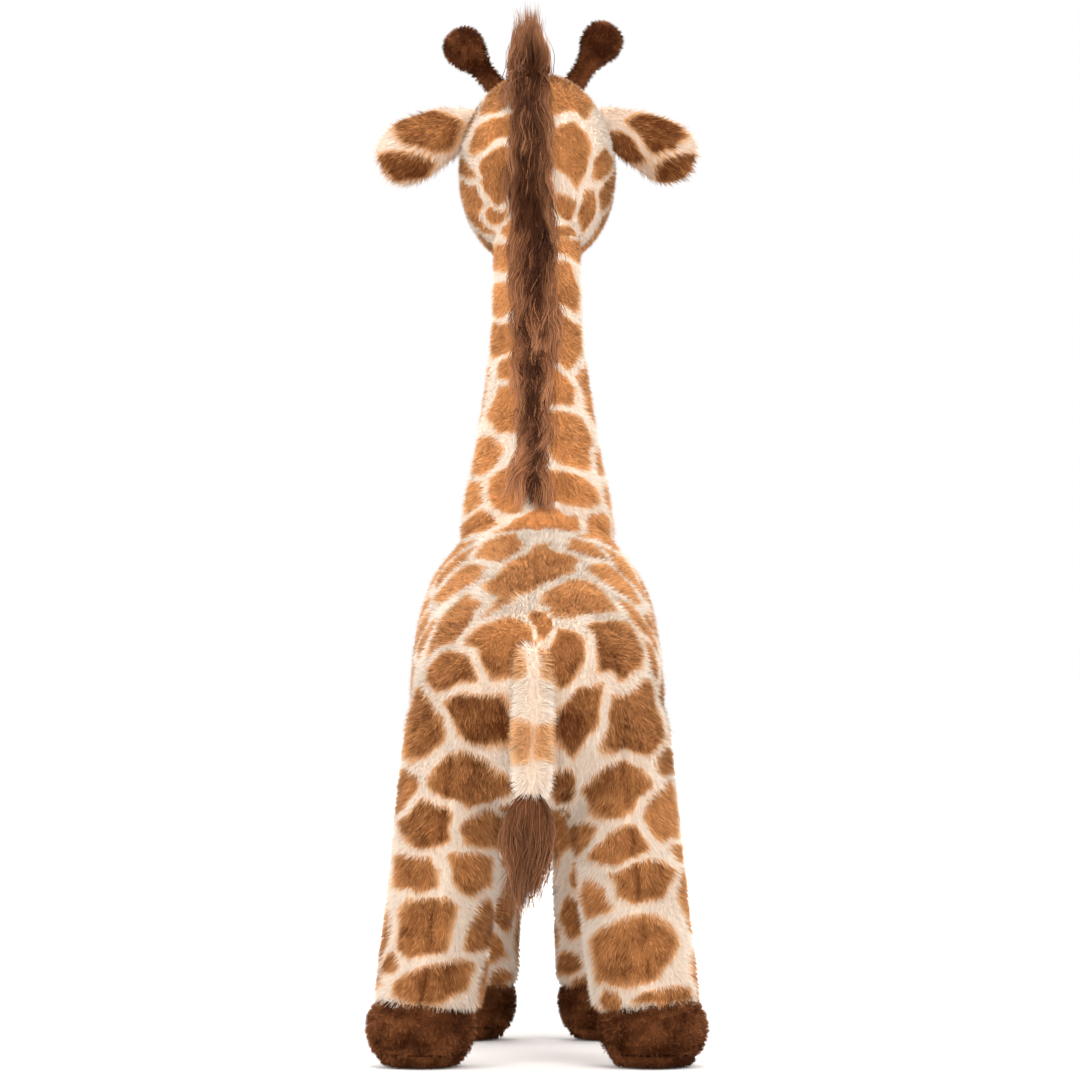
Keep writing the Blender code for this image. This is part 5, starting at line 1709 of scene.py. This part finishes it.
class GIRAFFE_OT_root_mane(bpy.types.Operator):
    """Root the long mane down the neck and over the head to the forelock"""

    bl_idname = "giraffe.root_mane"
    bl_label = "Root mane"

    def execute(self, context):
        hair = context.scene.giraffe_hair
        for paths, name, body, node in (
            (self.neck_paths(hair), "neck_mane_hair", "neck", "neck_mane"),
            (self.head_paths(hair), "head_mane_hair", "head", "head_mane"),
        ):
            parts = self.halves(name, hair, *paths)
            for mane in parts:
                dress(mane, long_hair_material(hair), body)
            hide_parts(node)
        return {"FINISHED"}

    def halves(self, name, hair, lock, paths, normals, light, seed):
        """The hair in two pieces, the first locks and the last."""
        first = lock < (lock.max() + 1) // 2
        return [
            hair_object(name + ending, paths[chosen], normals[chosen], hair.hair_radius, light[chosen], seed)
            for ending, chosen in (("_low", first), ("_high", ~first))
        ]

    def seated(self, starts, ways):
        """Where each ray meets the skin, and the skin's normal there."""
        places, normals = [], []
        for start, way in zip(starts, ways):
            place, normal = struck(made["whole_tree"], Vector(start), Vector(way))
            if place is None:
                raise RuntimeError("the mane misses the skin")
            places.append(place)
            normals.append(normal)
        return np.array(places), np.array(normals)

    def lightness(self, random, paths, lock, locks, centre, half):
        """A dark core between lighter locks, the core's darkness painted shade deep in the mane, with a few
        light locks and hairs over it.
        """
        aside = np.abs(paths[:, 5, 0] - centre) / half
        each = fade((aside - 0.30) / 0.75) * (0.35 + 0.65 * random.rand(locks)[lock])
        each = each + 0.16 * random.rand(len(lock)) - 0.03
        each = np.where(random.rand(locks)[lock] < 0.11, 0.40 + 0.5 * random.rand(len(lock)), each)
        return np.where(random.rand(len(lock)) < 0.03, 0.85, each)

    def neck_paths(self, hair):
        """The hair down the neck: its locks, paths, normals, lightness and seed."""
        random, locks, count, lock = new_locks(601, NECK_LOCKS)
        up = (np.arange(locks) + random.rand(locks)) / locks
        height = (MANE_FOOT_HEIGHT + (MANE_TOP_HEIGHT - MANE_FOOT_HEIGHT) * up)[lock]
        half = np.interp(height, MANE_HEIGHTS, (0.0029, 0.0043, 0.0064))
        side = random.uniform(-1.0, 1.0, locks)[lock]
        x = MANE_ASIDE + half * side + random.normal(0.0, 0.0018, count)
        height = height + random.normal(0.0, 0.0030, count)
        starts = in_rows(x, 0.2, height)
        seats, normals = self.seated(starts, np.tile((0.0, -1.0, 0.0), (count, 1)))
        lean = in_rows(side, 0.0, 0.0)
        leave = normals * 0.80 + lean * 0.34 + (0.0, 0.0, -0.45)
        leave = unit(leave + random.normal(0.0, 0.16, (count, 3)))
        drift = random.normal(0.0, 0.15, locks)[lock]
        hang = in_rows(drift - side * 0.05, 0.16, -1.0)
        hang = unit(hang + random.normal(0.0, 0.10, (count, 3)))
        fullness = np.interp(height, (MANE_FOOT_HEIGHT, 0.37, MANE_TOP_HEIGHT), (0.72, 0.80, 0.95))
        fullness = fullness * (0.72 + 0.28 * np.abs(side))
        length = hair.mane_length * fullness * random.uniform(0.75, 1.1, locks)[lock]
        length = length * random.uniform(0.7, 1.05, count)
        paths = styled_hair(seats - normals * HAIR_SINK, leave, hang, length, lock, NECK_STYLE)
        paths = laid_over(paths, made["whole_tree"], random.uniform(0.0010, 0.0045, locks)[lock])
        light = self.lightness(random, paths, lock, locks, MANE_ASIDE, half + 0.0040)
        return lock, paths, normals, light, 613

    def head_paths(self, hair):
        """The hair over the head, which falls back down the nape, and stands up as the forelock."""
        random, locks, count, lock = new_locks(617, HEAD_LOCKS)
        turn = ((np.arange(locks) + random.rand(locks)) / locks) ** 0.86
        angle = (NAPE_ANGLE + (FORELOCK_ANGLE - NAPE_ANGLE) * turn)[lock] + random.normal(0.0, 0.03, count)
        side = random.uniform(-1.0, 1.0, locks)[lock]
        middle = skull_mane_aside(angle)
        aside = middle + 0.0080 * side + random.normal(0.0, 0.0016, count)
        way = in_rows(0.0, -np.cos(angle), -np.sin(angle))
        starts = np.array(SKULL_CENTRE) - way * 0.15
        starts[:, 0] = aside
        seats, normals = self.seated(starts, way)
        degrees = np.degrees(angle)
        up = fade((degrees + random.uniform(-12.0, 12.0, locks)[lock] - 76.0) / 4.0)[:, None]
        high = fade((degrees - 25.0) / 45.0)[:, None]
        lean = in_rows(side, 0.0, 0.0) * (0.4 + 0.6 * up)
        jitter = random.normal(0.0, 0.11, (count, 3)) * (0.6 + 0.4 * up)
        back = in_rows(0.0, np.sin(angle), -np.cos(angle))
        flat = 1.0 - up
        leave = normals * (0.50 - 0.20 * high * flat + 0.35 * up) + lean * 0.28
        leave = leave + back * 0.9 * flat + up * (0.0, 0.0, 0.5)
        leave = unit(leave + jitter)
        drift = random.normal(0.0, 0.15, locks)[lock][:, None] * (1.0, 0.0, 0.0)
        after = np.maximum(angle - 0.85, 0.08)
        fall = in_rows(0.0, np.sin(after), -np.cos(after))
        hang = back * 0.25 + drift * (1.0 - 0.5 * high) + fall
        rise = np.array((0.0, 0.10, 1.0)) - lean * 0.17 + drift * 0.30
        ends = unit(hang * flat + rise * up + jitter * 0.5)
        length = hair.mane_length + (hair.forelock_length - hair.mane_length) * up[:, 0]
        length = length * (1.0 - 0.34 * up[:, 0] * np.abs(side) ** 1.5)
        length = length * random.uniform(0.74, 1.08, locks)[lock] * random.uniform(0.66, 1.05, count)
        length = length * (1.0 + 0.12 * up[:, 0] * random.uniform(-1.2, 1.0, locks)[lock])
        paths = styled_hair(seats - normals * HAIR_SINK, leave, ends, length, lock, HEAD_STYLE)
        paths = laid_over(paths, made["whole_tree"], random.uniform(0.0010, 0.0050, locks)[lock])
        up, low = up[:, 0], (high * (1.0 - up))[:, 0]
        light = self.lightness(random, paths, lock, locks, middle, 0.0125)
        light = light * (1.0 - 0.5 * up) * (1.0 - 0.4 * low)
        light = light + 0.06 * low * random.rand(locks)[lock] + (0.12 + 0.36 * random.rand(locks)[lock]) * up
        return lock, paths, normals, light, 631


def stitched_line(name, stitches, thread):
    """A line of thread along stitches on the muzzle, thick in the middle and lost at its ends."""
    radius, proud = thread
    points = []
    for x, z in stitches:
        place, normal = struck(made["whole_tree"], Vector((x, AHEAD_OF_FACE, z)), Vector((0.0, 1.0, 0.0)))
        if place is None:
            raise RuntimeError("the stitching misses the muzzle")
        points.append(tuple(place + normal * proud))
    run = through(points, 6)
    sides = 10
    ways = unit(np.gradient(run, axis=0))
    aside = unit(np.cross(ways, np.array((0.02, 0.3, 1.0))))
    other = np.cross(ways, aside)
    share = np.linspace(0.0, 1.0, len(run))
    thick = radius * (0.35 + 0.65 * np.sin(math.pi * share)) * (1.0 + 0.10 * np.sin(share * 40.0))
    rings = []
    for place, half, first, second in zip(run, thick, aside, other):
        for angle in (side * math.tau / sides for side in range(sides)):
            rings.append(place + half * (first * math.cos(angle) + second * math.sin(angle)))
    faces = tube_faces(len(run), sides)
    faces += [tuple(reversed(range(sides))), tuple(range((len(run) - 1) * sides, len(run) * sides))]
    line = mesh_object(name, rings, faces)
    facing_out(line.data)
    dress(line, material_for("Brown stitching", thread_material, THREAD_COLOUR), "head")


class GIRAFFE_OT_sew_face(bpy.types.Operator):
    """Set the black eyes and stitch the nostrils and the mouth"""

    bl_idname = "giraffe.sew_face"
    bl_label = "Sew face"

    def execute(self, context):
        glossy = material_for("Black eye plastic", eye_material)
        pale = material_for("Pale washer plastic", washer_material)
        for side_name, side in (("left", 1.0), ("right", -1.0)):
            for name, material in ((side_name + "_eye", glossy), (side_name + "_eye_washer", pale)):
                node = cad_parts[name]
                node.data.materials.clear()
                node.data.materials.append(material)
            stitches = [(side * x, z) for x, z in NOSTRIL_STITCHES]
            stitched_line(side_name + "_nostril_stitching", stitches, NOSTRIL_THREAD)
        stitched_line("mouth_stitching", MOUTH_STITCHES, MOUTH_THREAD)
        return {"FINISHED"}


class GIRAFFE_OT_set_stage(bpy.types.Operator):
    """Set the pale floor, the soft lamps and the camera behind the giraffe"""

    bl_idname = "giraffe.set_stage"
    bl_label = "Set stage"

    def execute(self, context):
        scene = context.scene
        scene.view_settings.view_transform = "Standard"
        camera = bpy.data.cameras.new("Photo camera")
        camera.lens = CAMERA_LENS
        camera.sensor_width = SENSOR_WIDTH
        camera.clip_end = 20.0
        scene.camera = in_scene("Photo camera", camera)
        scene.camera.location = CAMERA_PLACE
        scene.camera.rotation_euler = (math.radians(90.0), 0.0, math.radians(180.0))

        world = bpy.data.worlds.new("Studio")
        world.use_nodes = True
        scene.world = world
        background = world.node_tree.nodes["Background"]
        background.inputs["Color"].default_value = (1.0, 1.0, 1.0, 1.0)
        background.inputs["Strength"].default_value = 1.0

        for name, place, size, power in LAMPS:
            lamp = bpy.data.lights.new(name, "AREA")
            lamp.size = size
            lamp.energy = power
            lamp.color = LAMP_COLOUR
            placed = in_scene(name, lamp)
            placed.location = place
            placed.rotation_euler = (LAMP_AIM - Vector(place)).to_track_quat("-Z", "Y").to_euler()

        corners = [(x * FLOOR_HALF, y * FLOOR_HALF, 0.0) for x, y in ((-1, -1), (1, -1), (1, 1), (-1, 1))]
        floor = mesh_object("floor", corners, [(0, 1, 2, 3)], smooth=False)
        floor.data.materials.append(floor_material("Pale floor"))
        return {"FINISHED"}


class GIRAFFE_PT_workshop(bpy.types.Panel):
    """Lists the giraffe's sizes, colours and sewing steps"""

    bl_idname = "GIRAFFE_PT_workshop"
    bl_label = "Plush giraffe"
    bl_space_type = "VIEW_3D"
    bl_region_type = "UI"
    bl_category = "Giraffe"

    def draw(self, context):
        layout = self.layout
        for (name, kind), title in zip(SETTINGS, ("Printed plush", "Hooves and horns", "Mane and tuft")):
            box = layout.box()
            box.label(text=title)
            for key in kind.__annotations__:
                box.prop(getattr(context.scene, name), key)
        for kind in OPERATORS:
            layout.operator(kind.bl_idname)


SETTINGS = (
    ("giraffe_plush", GiraffePlushSettings),
    ("giraffe_brown", GiraffeBrownSettings),
    ("giraffe_hair", GiraffeHairSettings),
)
OPERATORS = (
    GIRAFFE_OT_set_stage,
    GIRAFFE_OT_sew_body,
    GIRAFFE_OT_sew_hooves,
    GIRAFFE_OT_sew_horns,
    GIRAFFE_OT_sew_ears,
    GIRAFFE_OT_sew_tail,
    GIRAFFE_OT_root_mane,
    GIRAFFE_OT_sew_face,
)
CLASSES = (*(kind for _, kind in SETTINGS), *OPERATORS, GIRAFFE_PT_workshop)


def register():
    for kind in CLASSES:
        bpy.utils.register_class(kind)
    for name, kind in SETTINGS:
        setattr(bpy.types.Scene, name, PointerProperty(type=kind))


def unregister():
    for name, _ in SETTINGS:
        delattr(bpy.types.Scene, name)
    for kind in reversed(CLASSES):
        bpy.utils.unregister_class(kind)


def main():
    register()
    bpy.ops.giraffe.set_stage()
    bpy.ops.giraffe.sew_body()
    bpy.ops.giraffe.sew_hooves()
    bpy.ops.giraffe.sew_horns()
    bpy.ops.giraffe.sew_ears()
    bpy.ops.giraffe.sew_tail()
    bpy.ops.giraffe.root_mane()
    bpy.ops.giraffe.sew_face()


if __name__ == "__main__":
    main()
